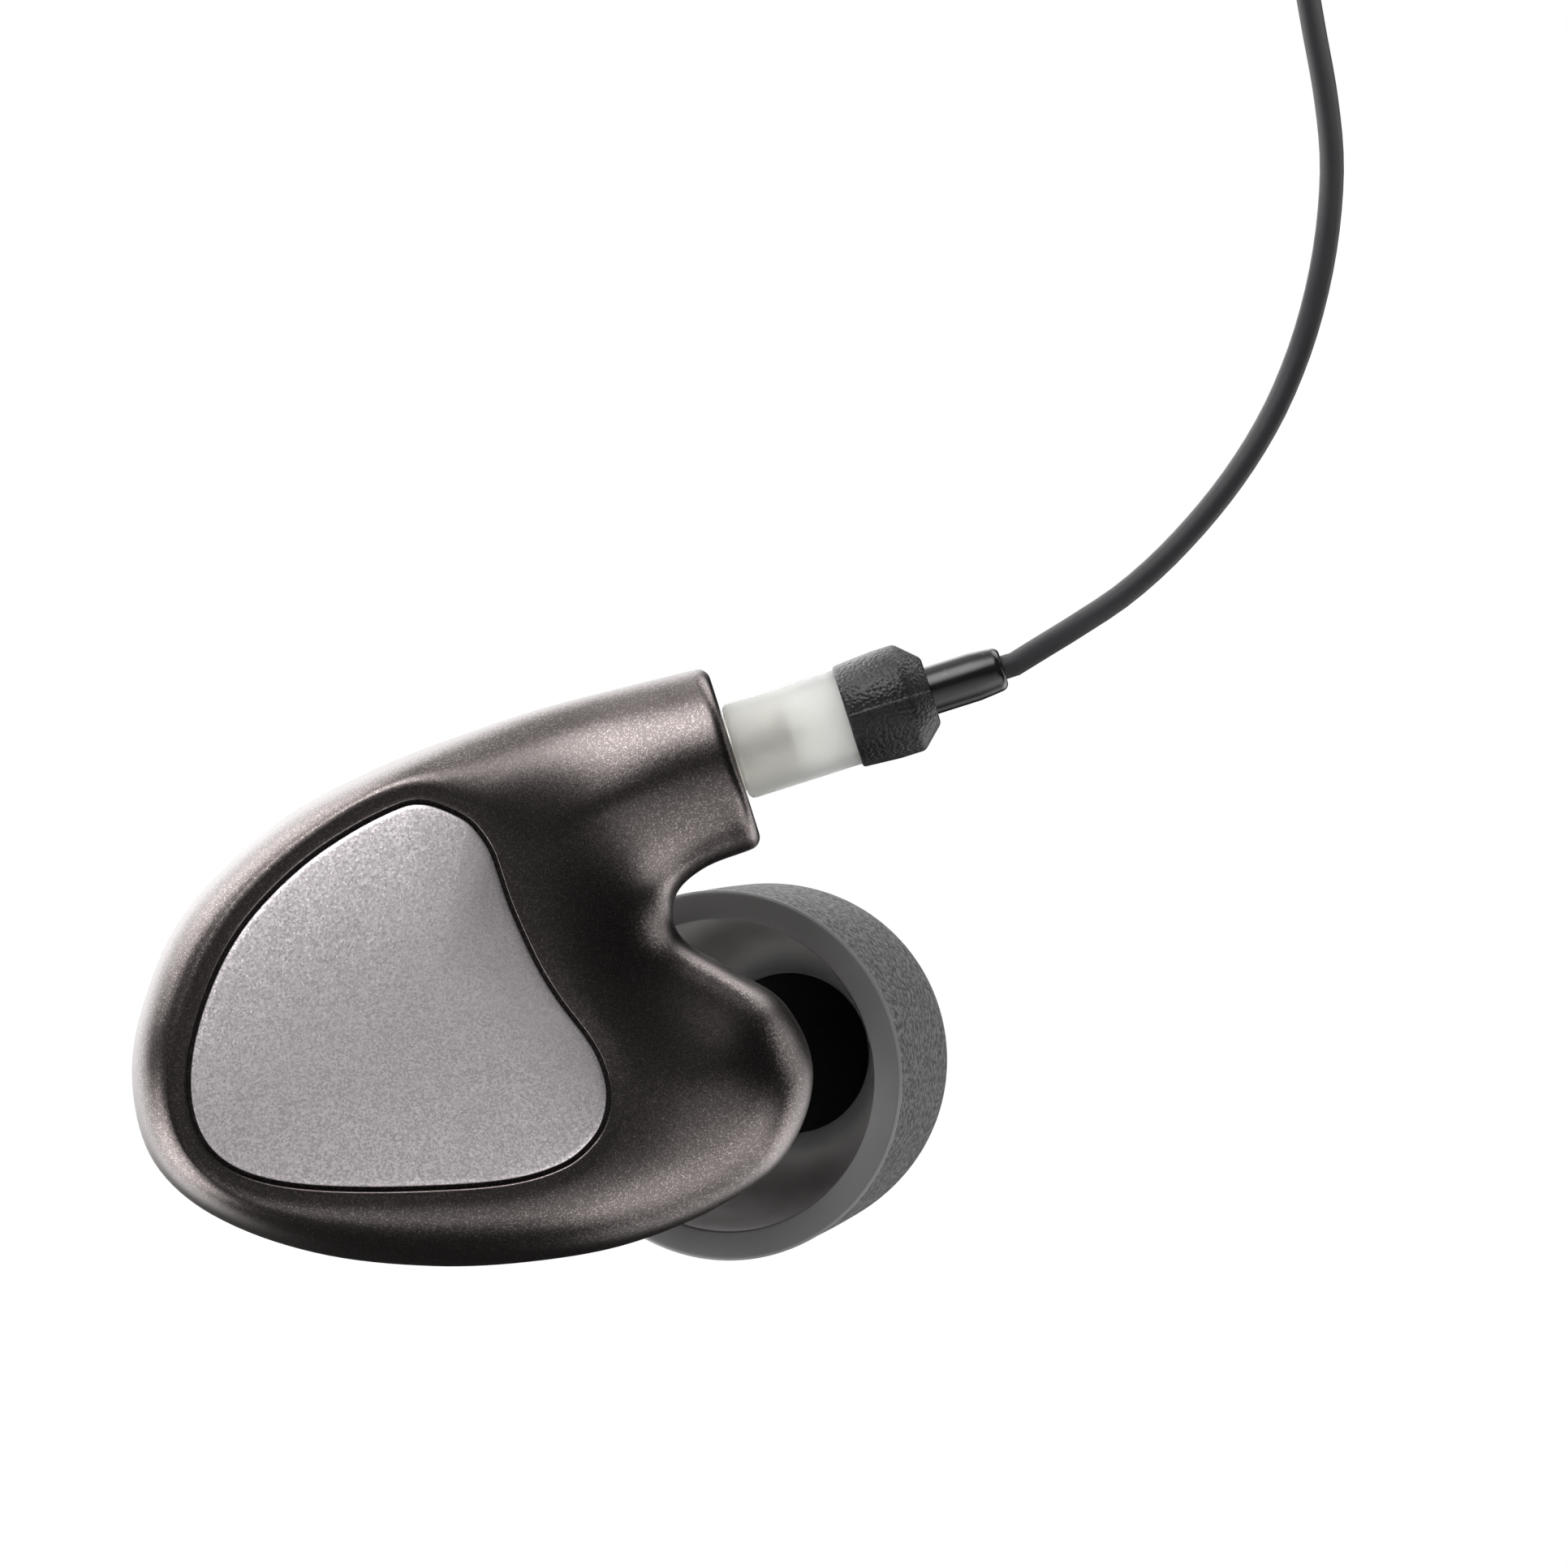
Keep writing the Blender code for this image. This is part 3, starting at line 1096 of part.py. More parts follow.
def lay_on_table(earpiece):
    """Moves the earpiece so that it touches the table, with the origin under its middle."""
    bpy.context.view_layer.update()
    scene = bpy.context.evaluated_depsgraph_get()
    low, high = Vector((math.inf,) * 3), Vector((-math.inf,) * 3)
    for part in PARTS.objects:
        if part.type == "EMPTY":
            continue
        solid = part.evaluated_get(scene)
        mesh = solid.to_mesh()
        for vert in mesh.vertices:
            place = part.matrix_world @ vert.co
            low = Vector(map(min, low, place))
            high = Vector(map(max, high, place))
        solid.to_mesh_clear()
    earpiece.location -= Vector(((low.x + high.x) / 2.0, (low.y + high.y) / 2.0, low.z))
    bpy.context.view_layer.update()


clear_scene()
PARTS = collection("in_ear_monitor")
CUTTERS = collection("cutters")
PAINT = material("bronze_paint", (0.075, 0.062, 0.055), 0.34, 0.8)
BLASTED = material("blasted_aluminium", (0.42, 0.41, 0.43), 0.5, 0.9)
FILM = material("bonding_film", (0.75, 0.72, 0.6), 0.6, 0.0)
STEEL = material("steel", (0.62, 0.62, 0.63), 0.3, 1.0)
BRASS = material("gilt_brass", (0.80, 0.62, 0.30), 0.25, 1.0)
CAN_METAL = material("driver_can", (0.66, 0.65, 0.62), 0.3, 1.0)
CLEAR_TUBE = material("clear_tube", (0.80, 0.82, 0.84), 0.25, 0.0)
DAMPER_GREEN = material("damper_green", (0.10, 0.42, 0.18), 0.6, 0.0)
BOARD_GREEN = material("board_green", (0.03, 0.20, 0.09), 0.5, 0.0)
CERAMIC = material("ceramic", (0.50, 0.38, 0.25), 0.6, 0.0)
DARK_CHIP = material("dark_chip", (0.03, 0.03, 0.03), 0.5, 0.0)
COPPER = material("enamelled_copper", (0.60, 0.24, 0.10), 0.35, 0.9)
WHITE_PLASTIC = material("white_plastic", (0.85, 0.85, 0.83), 0.5, 0.0)
CLEAR_PLASTIC = material("frosted_clear_plastic", (0.80, 0.83, 0.78), 0.35, 0.0)
BLACK_PLASTIC = material("black_plastic", (0.018, 0.018, 0.02), 0.45, 0.0)
BLACK_RUBBER = material("black_rubber", (0.012, 0.012, 0.012), 0.55, 0.0)
GREY_RUBBER = material("grey_rubber", (0.085, 0.09, 0.09), 0.75, 0.0)
CABLE = material("charcoal_cable", (0.035, 0.036, 0.04), 0.5, 0.0)
STRAP = material("strap_black", (0.02, 0.02, 0.02), 0.8, 0.0)
CONTACT_PLATE = material("contact_plate", (0.82, 0.68, 0.38), 0.2, 1.0)

laid = Matrix.Rotation(TABLE_ROLL, 4, "X") @ Matrix.Rotation(TABLE_TILT, 4, "Y")
EARPIECE = add_empty("earpiece", laid)
ALONG, ACROSS = boss_directions()
CONNECTOR = add_empty("connector_axis", Matrix.Translation((*BOSS_END, 0.0)) @ Vector(
    (*ALONG, 0.0)).to_track_quat("Z", "Y").to_matrix().to_4x4(), EARPIECE)
NOZZLE_AXIS = add_empty("nozzle_axis", Matrix.Translation(TIP_RIM) @ Vector(
    TIP_DIRECTION).to_track_quat("Z", "Y").to_matrix().to_4x4(), EARPIECE)
bpy.context.view_layer.update()
make_shells(EARPIECE, CONNECTOR, NOZZLE_AXIS)
make_faceplate(EARPIECE)
make_nozzle(NOZZLE_AXIS)
make_ear_tip(NOZZLE_AXIS)
make_drivers(EARPIECE, NOZZLE_AXIS)
make_crossover(EARPIECE, CONNECTOR)
make_socket(CONNECTOR)
RELIEF_END = make_plug(CONNECTOR)
lay_on_table(EARPIECE)
make_lead(CONNECTOR, RELIEF_END, make_jack())
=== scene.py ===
"""Looks of one in-ear monitor: painted housing, ear tip, plug-in lead and jack, on white."""

import math

import bmesh
import bpy
import numpy as np
from bpy.props import FloatProperty, FloatVectorProperty, IntProperty, PointerProperty
from mathutils import Matrix, Vector
from mathutils.geometry import interpolate_bezier


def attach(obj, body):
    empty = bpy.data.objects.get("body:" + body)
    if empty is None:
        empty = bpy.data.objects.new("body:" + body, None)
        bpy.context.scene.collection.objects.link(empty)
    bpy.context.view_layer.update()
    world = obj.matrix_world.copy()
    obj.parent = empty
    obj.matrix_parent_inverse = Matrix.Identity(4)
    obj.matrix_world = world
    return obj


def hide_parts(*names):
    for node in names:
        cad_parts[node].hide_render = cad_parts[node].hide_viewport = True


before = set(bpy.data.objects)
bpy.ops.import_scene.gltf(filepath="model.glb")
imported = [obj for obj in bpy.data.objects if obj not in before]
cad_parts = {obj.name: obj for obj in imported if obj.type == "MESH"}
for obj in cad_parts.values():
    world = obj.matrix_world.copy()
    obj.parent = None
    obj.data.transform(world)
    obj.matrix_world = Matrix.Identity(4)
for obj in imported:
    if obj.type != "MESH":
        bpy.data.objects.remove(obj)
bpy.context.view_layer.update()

bl_info = {
    "name": "In-ear monitor",
    "version": (1, 0, 0),
    "blender": (4, 5, 0),
    "location": "View3D > Sidebar > Monitor",
    "description": "Dresses the solids of an in-ear monitor with fine surfaces and finishes",
    "category": "Object",
}

MM = 0.001
MERGE = 1e-7
SHARP_ANGLE = math.radians(24.0)
STEEL, TURNED_ROUGH = (0.60, 0.60, 0.61), (0.18, 0.34)
STRAP = (0.030, 0.030, 0.032)

# The earpiece lies on the table; its own frame has x right, y up and z out through the faceplate
LAID = (Matrix.Translation((-0.0046071, -0.0025639, 0.0081659))
        @ Matrix.Rotation(math.radians(-41.0), 4, "X")
        @ Matrix.Rotation(math.radians(-33.356), 4, "Y"))

# Housing: outline seen through the faceplate, between the two corners of the connector boss
SILHOUETTE = [
    (4.85, 10.85), (2.16, 10.16), (0.0, 9.48), (-3.60, 8.10), (-6.94, 6.25), (-9.99, 3.25),
    (-11.40, 0.0), (-11.65, -2.48), (-10.94, -4.87), (-9.05, -6.58), (-5.69, -7.83),
    (-1.76, -8.28), (1.72, -8.10), (4.81, -7.50), (7.90, -6.17), (9.85, -4.59), (10.73, -1.98),
    (9.83, 0.32), (7.98, 1.55), (6.35, 2.62), (6.19, 3.84), (7.08, 4.77),
]
PLATE_EDGE = [
    (-1.28, 6.68), (-1.75, 6.85), (-2.14, 6.92), (-2.70, 6.85), (-4.30, 6.07), (-6.22, 4.73),
    (-8.25, 2.48), (-9.45, -0.40), (-9.69, -2.67), (-9.02, -4.43), (-7.34, -5.34),
    (-4.54, -5.63), (-1.20, -5.56), (1.00, -5.35), (2.59, -4.83), (3.36, -4.19), (3.82, -3.47),
    (3.96, -2.40), (3.50, -1.07), (2.46, 0.29), (1.71, 1.47), (1.15, 2.62), (0.67, 3.74),
    (0.32, 4.81), (0.08, 5.45), (-0.48, 6.22), (-0.90, 6.50),
]
FRONT_CREST, FRONT_ROUNDING, FRONT_REACH = 3.05 * MM, 2.6 * MM, 6.5 * MM
CREASE_TOWARDS, CREASE = Vector((-0.55, 0.83)), 0.12
LOBE_CREST, LOBE_ROUNDING = 2.75 * MM, 4.2 * MM
BACK_CREST, BACK_ROUNDING, LOBE_BACK_CREST = 5.6 * MM, 6.0 * MM, 5.3 * MM
LOBE_START_X, LOBE_FULL_X = 2.0 * MM, 7.5 * MM
BOSS_END = Vector((8.12 * MM, 8.60 * MM))
BOSS_ANGLE = math.radians(17.6)
BOSS_TOP, BOSS_BOTTOM, BOSS_DEPTH = 3.0 * MM, 3.2 * MM, 2.75 * MM
BOSS_LENGTH, BOSS_ROUNDING = 7.0 * MM, 0.42 * MM
BOSS_ALONG = Vector((math.cos(BOSS_ANGLE), math.sin(BOSS_ANGLE)))
BOSS_ACROSS = Vector((-BOSS_ALONG.y, BOSS_ALONG.x))
# Steps of the bore for the socket: radius, and depth from the boss's end
BOSS_BORE = ((1.99 * MM, 0.0), (1.96 * MM, -0.03 * MM), (1.96 * MM, -1.4 * MM))
SEAM_Z, SEAM_HALF_GAP = -0.9 * MM, 0.03 * MM
EDGE_ROUNDING = 0.06 * MM
RECESS_FLOOR, RECESS_LEDGE = 1.93 * MM, 1.6 * MM
# Rings of points between the silhouette and the lip, and passes that soften them
RINGS, SOFTENING = 18, 6
# The wall is thinner round the bore and under the recess
THIN_WALL, THIN_ABOVE, THIN_ALONG_BOSS = 0.25, 2.2 * MM, -1.6 * MM
PLATE_BELOW_CREST, PLATE_THICK = 0.08 * MM, 0.8 * MM


def pointing(start, towards):
    """Frame of a turned piece on the earpiece, from where its axis starts and points."""
    return LAID @ Matrix.Translation(start) @ Vector(
        towards).to_track_quat("Z", "Y").to_matrix().to_4x4()


def axis_of(place):
    """Direction of a turned piece's own axis."""
    return (place.to_3x3() @ Vector((0.0, 0.0, 1.0))).normalized()


# Frames of the turned pieces: the connector from the boss's end, the nozzle and ear tip from the
# bell's rim, the jack from its handle's front
CONNECTOR = pointing((*BOSS_END, 0.0), (*BOSS_ALONG, 0.0))
NOZZLE = pointing((7.74 * MM, -2.09 * MM, -6.5 * MM), (0.291, 0.086, -0.953))
JACK = Matrix.Translation((0.015, 0.0708, 0.00302)) @ Matrix.Rotation(math.pi / 2.0, 4, "Y")
# Ends of the relief and the boot, in millimetres along their axes
RELIEF_END, BOOT_END = 9.30, -20.0
# Inside of the ear tip's bell, in millimetres: hollow, hub, and how far the painted shade reaches
# from the stem
HOLLOW_DEPTH, HUB_RADIUS, SHADE_REACH = 8.2, 2.44, 1.3

# Lead: the free stretch and the tail in millimetres, and the coil between them
LEAD_ROUTE = [
    (10.35, 13.10, 7.95), (11.2, 14.43, 8.25), (12.5, 15.91, 8.28), (14.05, 17.46, 7.78),
    (15.9, 19.2, 6.7), (17.45, 20.9, 5.4), (18.5, 22.6, 4.1), (19.0, 24.45, 3.0),
    (19.0, 26.5, 2.1), (18.5, 28.75, 1.4), (17.45, 31.1, 0.9), (15.95, 33.7, 0.6),
    (14.15, 36.7, 0.5), (12.0, 40.3, 0.6), (9.75, 44.1, 0.9),
]
TAIL_ROUTE = [
    (4.7, 53.4, 4.75), (2.1, 57.2, 3.6), (-1.7, 60.6, 1.9), (-5.6, 62.9, 0.75),
    (-9.0, 65.1, 0.45), (-10.9, 67.6, 0.55), (-10.9, 69.9, 1.5), (-9.0, 70.7, 2.6),
]
COIL_CENTRE = Vector((17.2 * MM, 54.5 * MM, 1.22 * MM))
COIL_START = math.radians(205.0)
COIL_LAYERS, COIL_TURNS = 4, 5
COIL_PITCH, COIL_INNER = 1.25 * MM, 5.6 * MM
COIL_STEPS, LEAD_STEP = 48, 0.7 * MM
# Strap round the coil: its place, its section, and how far out its two windings lie
TIE_AT, TIE_ROOM, TIE_CORNER = math.radians(255.0), 1.4 * MM, 1.2 * MM
TIE_WIDTH, TIE_THICK, TIE_WINDINGS = 3.0 * MM, 0.2 * MM, (0.13 * MM, 0.37 * MM)


# Sizes and colours that a user would change

def length(name, description, default, low, high):
    """Length setting, given in millimetres."""
    return FloatProperty(name=name, description=description, default=default * MM, min=low * MM,
                         max=high * MM, precision=5, unit="LENGTH")


def colour(name, description, *default):
    return FloatVectorProperty(name=name, description=description, default=default, min=0.0,
                               max=1.0, subtype="COLOR")


class MonitorHousingSettings(bpy.types.PropertyGroup):
    """Sizes and colours of the painted housing and its faceplate."""
    wall: length("Wall", "Thickness of the moulded shells", 0.7, 0.3, 1.2)
    lip_width: length("Lip width", "Width of the flat lip round the faceplate", 0.57, 0.2, 1.0)
    plate_gap: length("Plate gap", "Gap between the faceplate and its recess", 0.15, 0.05, 0.3)
    plate_dome: length("Plate dome", "Rise of the faceplate in its middle", 0.42, 0.0, 0.5)
    columns: IntProperty(
        name="Columns per span", description="Divisions of each span of the housing's outline",
        default=8, min=3, max=16)
    paint: colour("Paint", "Bronze metallic paint", 0.140, 0.122, 0.119)
    plate: colour("Plate", "Bead-blasted metal of the faceplate", 0.75, 0.70, 0.72)


class MonitorTipSettings(bpy.types.PropertyGroup):
    """Sizes and colours of the ear tip."""
    rim_radius: length("Rim radius", "Outside radius of the bell's rim", 6.14, 4.0, 8.0)
    length: length("Length", "Length of the bell from rim to front", 8.9, 5.0, 12.0)
    rim_band: length("Rim band", "Width of the flat face of the rim", 0.94, 0.3, 2.0)
    rubber: colour("Rubber", "Grey rubber of the bell", 0.092, 0.0905, 0.090)
    core: colour("Core", "Black rubber of the stem", 0.003, 0.003, 0.003)


class MonitorLeadSettings(bpy.types.PropertyGroup):
    """Sizes and colours of the lead, its connector and its jack."""
    diameter: length("Diameter", "Outside diameter of the lead", 0.8, 0.4, 1.6)
    cable: colour("Cable", "Charcoal jacket of the lead", 0.033, 0.032, 0.035)
    sleeve: colour("Sleeve", "Frosted sleeve of the plug", 0.95, 0.95, 0.92)
    moulding: colour("Moulding", "Black plastic of the collar, relief and jack", 0.013, 0.0125,
                     0.013)
    contacts: colour("Contacts", "Plated metal of the jack's contacts", 0.84, 0.66, 0.34)
    socket: colour("Socket", "Plated metal of the coaxial socket and plug", 0.86, 0.84, 0.79)


class MonitorStageSettings(bpy.types.PropertyGroup):
    """Light and floor of the stage."""
    light: FloatProperty(
        name="Light", description="Strength of the studio light", default=1.0, min=0.0, max=5.0)
    floor: colour("Floor", "Colour of the floor", 1.0, 1.0, 1.0)


# Shader node helpers

def add(tree, kind, inputs=None, **settings):
    """New node with its settings, and its inputs linked or set by name or number."""
    made = tree.nodes.new(kind)
    for name, value in settings.items():
        setattr(made, name, value)
    for name, value in (inputs or {}).items():
        if isinstance(value, bpy.types.NodeSocket):
            tree.links.new(value, made.inputs[name])
        else:
            made.inputs[name].default_value = value
    return made


def calc(tree, operation, *values):
    return add(tree, "ShaderNodeMath", dict(enumerate(values)), operation=operation).outputs[0]


def vector_calc(tree, operation, *values):
    return add(tree, "ShaderNodeVectorMath", dict(enumerate(values)), operation=operation).outputs


def noise(tree, where, scale, detail=2.0, **inputs):
    return add(tree, "ShaderNodeTexNoise", {
        "Vector": where, "Scale": scale, "Detail": detail, **inputs}).outputs[0]


def ranged(tree, value, low, high, low_from=0.0, high_from=1.0):
    return add(tree, "ShaderNodeMapRange", {
        0: value, 1: low_from, 2: high_from, 3: low, 4: high}).outputs[0]


def mixed(tree, share, *colours):
    """Colour between two others, by a share that changes over the surface."""
    first, second = (one if isinstance(one, bpy.types.NodeSocket) else (*one, 1.0)
                     for one in colours)
    return add(tree, "ShaderNodeMix", {0: share, 6: first, 7: second},
               data_type="RGBA").outputs[2]


def toned(colour, factor):
    return tuple(min(1.0, part * factor) for part in colour)


# Shared effects: each gives its masks by name

def metal_flakes(group, given, where):
    """Metal flakes in paint or on blasted metal: each cell tilts its own way, and a few shine."""
    cell = add(group, "ShaderNodeTexVoronoi", {
        "Vector": where, "Scale": given["Scale"]}).outputs["Color"]
    spread = vector_calc(group, "SUBTRACT", cell, (0.5, 0.5, 0.5))[0]
    lean = add(group, "ShaderNodeVectorMath", {0: spread, "Scale": given["Tilt"]},
               operation="SCALE").outputs[0]
    facing = add(group, "ShaderNodeNewGeometry").outputs["Normal"]
    leaning = vector_calc(group, "ADD", facing, lean)[0]
    chance = add(group, "ShaderNodeSeparateColor", {0: cell}).outputs[0]
    bar = calc(group, "SUBTRACT", 1.0, given["Share"])
    return {"Sparkle": ranged(group, chance, 0.0, 1.0, bar),
            "Normal": vector_calc(group, "NORMALIZE", leaning)[0]}


def fine_grain(group, given, where):
    """Fine noise of a given scale, as a value and as a height, over soft larger patches."""
    return {"Grain": noise(group, where, given["Scale"], 3.0, Roughness=0.6),
            "Patch": noise(group, where, given["Patches"])}


def stipple(group, given, where):
    """Small rounded bumps of a moulded or eroded surface."""
    bumps = add(group, "ShaderNodeTexVoronoi", {
        "Vector": where, "Scale": given["Scale"], "Smoothness": 0.6},
        feature="SMOOTH_F1").outputs["Distance"]
    return {"Height": calc(group, "SUBTRACT", noise(group, where, given["Scale"]), bumps)}


def turned_rings(group, given, where):
    """Fine rings that a lathe leaves, as changes along the piece's own axis."""
    along = vector_calc(group, "DOT_PRODUCT", where, given["Axis"])["Value"]
    return {"Rings": add(group, "ShaderNodeTexNoise", {
        "W": along, "Scale": given["Scale"], "Detail": 2.0}, noise_dimensions="1D").outputs[0]}


def plain_weave(group, given, where):
    """Over and under of a plain weave, on the piece's own UV map."""
    parts = add(group, "ShaderNodeSeparateXYZ", {0: where}).outputs
    waves = []
    for part, count in ((parts[0], given["Along"]), (parts[1], given["Across"])):
        turns = calc(group, "MULTIPLY", part, count)
        waves.append(calc(group, "SINE", calc(group, "MULTIPLY", turns, math.pi)))
    crossing = calc(group, "MULTIPLY", *waves)
    return {"Height": ranged(group, crossing, 0.0, 1.0, -1.0),
            "Thread": calc(group, "ABSOLUTE", crossing)}


# Inputs of each effect, with the coordinates that it follows
EFFECTS = {
    metal_flakes: ({"Scale": 20000.0, "Tilt": 0.2, "Share": 0.15}, "Object"),
    fine_grain: ({"Scale": 8000.0, "Patches": 400.0}, "Object"),
    stipple: ({"Scale": 6000.0}, "Object"),
    turned_rings: ({"Axis": (0.0, 0.0, 1.0), "Scale": 9000.0}, "Object"),
    plain_weave: ({"Across": 12.0, "Along": 120.0}, "UV"),
}


def effect_group(effect):
    """Node group of a shared effect, made when it is first asked for."""
    name = effect.__name__
    if name in bpy.data.node_groups:
        return bpy.data.node_groups[name]
    group = bpy.data.node_groups.new(name, "ShaderNodeTree")
    inputs, coordinates = EFFECTS[effect]
    for label, value in inputs.items():
        kind = "NodeSocketVector" if isinstance(value, tuple) else "NodeSocketFloat"
        socket = group.interface.new_socket(name=label, in_out="INPUT", socket_type=kind)
        socket.default_value = value
    where = add(group, "ShaderNodeTexCoord").outputs[coordinates]
    masks = effect(group, add(group, "NodeGroupInput").outputs, where)
    for label in masks:
        kind = "NodeSocketVector" if label == "Normal" else "NodeSocketFloat"
        group.interface.new_socket(name=label, in_out="OUTPUT", socket_type=kind)
    add(group, "NodeGroupOutput", masks)
    return group


# Finishes

def finish(name, colour, effects, base, rough, height, **constants):
    """Material whose colour, roughness and height follow the masks of shared effects.

    base has a mask and two tones, each a factor on the colour or a colour, and rough a mask and
    two values, both with the mask's own range where that isn't 0 to 1. height has a mask,
    millimetres, a strength and, where there is one, the normal that it builds on.
    """
    made = bpy.data.materials.new(name)
    made.use_nodes = True
    tree = made.node_tree
    shader = tree.nodes["Principled BSDF"].inputs
    for label, value in constants.items():
        shader[label.replace("_", " ")].default_value = value
    masks = {}
    for effect, values in effects.items():
        node = add(tree, "ShaderNodeGroup", values, node_tree=effect_group(effect))
        masks.update(node.outputs.items())
    mask, low, high, *span = base
    share = ranged(tree, masks[mask], 0.0, 1.0, *span) if span else masks[mask]
    tones = [tone if isinstance(tone, tuple) else toned(colour, tone) for tone in (low, high)]
    tree.links.new(mixed(tree, share, *tones), shader["Base Color"])
    mask, *values = rough
    tree.links.new(ranged(tree, masks[mask], *values), shader["Roughness"])
    mask, millimetres, strength, *under = height
    bump = {"Height": masks[mask], "Distance": millimetres * MM, "Strength": strength}
    if under:
        bump["Normal"] = masks[under[0]]
    tree.links.new(add(tree, "ShaderNodeBump", bump).outputs[0], shader["Normal"])
    return made


def bronze_paint(colour):
    return finish(
        "bronze_paint", colour, {metal_flakes: {"Scale": 30000.0, "Tilt": 0.08, "Share": 0.3},
                                 fine_grain: {"Scale": 26000.0, "Patches": 180.0}},
        ("Sparkle", 0.86, 2.1), ("Patch", 0.26, 0.30), ("Grain", 0.001, 0.4, "Normal"),
        Metallic=0.97)


def blasted_metal(colour):
    return finish(
        "blasted_aluminium", colour, {metal_flakes: {"Scale": 17000.0, "Tilt": 0.12, "Share": 0.9},
                                      fine_grain: {"Scale": 14000.0, "Patches": 90.0}},
        ("Sparkle", 0.82, 1.32), ("Patch", 0.42, 0.48), ("Grain", 0.004, 0.6, "Normal"),
        Metallic=0.95)


def grey_rubber(colour):
    return finish(
        "grey_rubber", colour, {stipple: {"Scale": 8500.0},
                                fine_grain: {"Scale": 6200.0, "Patches": 260.0}},
        ("Grain", 0.20, 1.8, 0.41, 0.60), ("Patch", 0.66, 0.82), ("Height", 0.035, 0.8),
        Sheen_Weight=0.05)


def hollow_rubber(colour, shade_colour):
    """Clouded rubber of the bell's inside, with painted shade that darkens it to the stem's black
    by the mesh's own shade share.
    """
    made = finish(
        "hollow_rubber", colour, {fine_grain: {"Scale": 3600.0, "Patches": 420.0}},
        ("Patch", 0.8, 1.25), ("Patch", 0.75, 0.9), ("Grain", 0.006, 0.5), Subsurface_Weight=1.0,
        Subsurface_Scale=2.5 * MM, Subsurface_Radius=(1.0, 1.0, 1.0))
    tree = made.node_tree
    base = tree.nodes["Principled BSDF"].inputs["Base Color"]
    shade = add(tree, "ShaderNodeAttribute", attribute_name="shade").outputs["Fac"]
    tree.links.new(mixed(tree, shade, shade_colour, base.links[0].from_socket), base)
    return made


def textured_plastic(colour):
    return finish(
        "black_plastic", colour, {stipple: {"Scale": 8200.0},
                                  fine_grain: {"Scale": 6000.0, "Patches": 500.0}},
        ("Grain", 0.6, 1.8), ("Patch", 0.28, 0.5, 0.35, 0.65), ("Height", 0.035, 0.8),
        Specular_IOR_Level=0.35)


def glossy_plastic(colour):
    return finish(
        "glossy_plastic", colour, {metal_flakes: {"Scale": 9000.0, "Tilt": 0.02, "Share": 0.012},
                                   fine_grain: {"Scale": 3000.0, "Patches": 600.0}},
        ("Sparkle", 1.0, (0.12, 0.12, 0.12)), ("Patch", 0.12, 0.22), ("Grain", 0.004, 0.4),
        Coat_Weight=0.1, Coat_Roughness=0.1)


def turned_metal(name, colour, axis, *rough):
    return finish(
        name, colour, {turned_rings: {"Axis": axis, "Scale": 16000.0},
                       fine_grain: {"Scale": 7000.0, "Patches": 420.0}},
        ("Patch", 0.9, 1.06), ("Rings", *rough), ("Rings", 0.002, 0.5), Metallic=1.0)


# The strap is near black between the threads, where the Thread mask is low: painted shade in the
# gaps of the weave
def woven_strap(colour):
    return finish(
        "strap_black", colour, {plain_weave: {"Across": 11.0, "Along": 120.0},
                                fine_grain: {"Scale": 9000.0, "Patches": 700.0}},
        ("Thread", (0.006, 0.006, 0.006), 1.0), ("Grain", 0.7, 0.9), ("Height", 0.05, 0.8),
        Sheen_Weight=0.3)


# The screen is near black where its height is low, between the bumps: painted shade in the
# openings of the screen
def screen_mesh(colour):
    return finish(
        "woven_screen", colour, {stipple: {"Scale": 5200.0}},
        ("Height", (0.03, 0.03, 0.03), 1.0, -0.1, 0.25), ("Height", 0.6, 0.3, -0.1, 0.25),
        ("Height", 0.06, 0.9), Metallic=1.0)


def grained(name, colour, rough, spread=(0.86, 1.1), scales=(7500.0, 600.0), height=0.005,
            **constants):
    """Plain finish: soft patches in the colour, fine grain in the roughness and the height."""
    return finish(name, colour, {fine_grain: dict(zip(("Scale", "Patches"), scales))},
                  ("Patch", *spread), ("Grain", *rough), ("Grain", height, 0.5), **constants)


def smooth_rubber(name, colour, *rough, **constants):
    return grained(name, colour, rough, (0.8, 1.25), (3600.0, 420.0), 0.006, **constants)


def frosted_plastic(colour):
    return grained("frosted_clear_plastic", colour, (0.52, 0.62), (0.97, 1.03), (5200.0, 520.0),
                   0.008, Transmission_Weight=0.76, IOR=1.3, Subsurface_Weight=1.0,
                   Subsurface_Scale=1.5 * MM, Subsurface_Radius=(1.0, 1.0, 1.0))


def cable_jacket(colour):
    return grained("charcoal_cable", colour, (0.48, 0.60), (0.85, 1.2), (4200.0, 700.0), 0.0015,
                   Specular_IOR_Level=0.28)


def drawn_metal(name, colour, *rough):
    return grained(name, colour, rough, (0.88, 1.05), (9000.0, 500.0), 0.003, Metallic=1.0)


# Modelling helpers

def spline(points, samples, closed=True):
    """Smooth curve through the points."""
    points = [Vector(point) for point in points]
    count = len(points)

    def tangent(index):
        if not closed and index in (0, count - 1):
            return (points[1] - points[0] if index == 0 else points[-1] - points[-2]).normalized()
        return (points[(index + 1) % count] - points[index - 1]).normalized()

    curve = []
    for index in range(count if closed else count - 1):
        after = (index + 1) % count
        start, end = points[index], points[after]
        reach = (end - start).length / 3.0
        curve.extend(interpolate_bezier(start, start + tangent(index) * reach,
                                        end - tangent(after) * reach, end, samples + 1)[:-1])
    return curve if closed else curve + [points[-1]]


def metres(points):
    """Points that are given in millimetres."""
    return [Vector(point) * MM for point in points]


def raised(curve, heights):
    """Points of a flat curve at their heights, or all at one height."""
    return [Vector((*point, height))
            for point, height in zip(curve, np.broadcast_to(heights, len(curve)))]


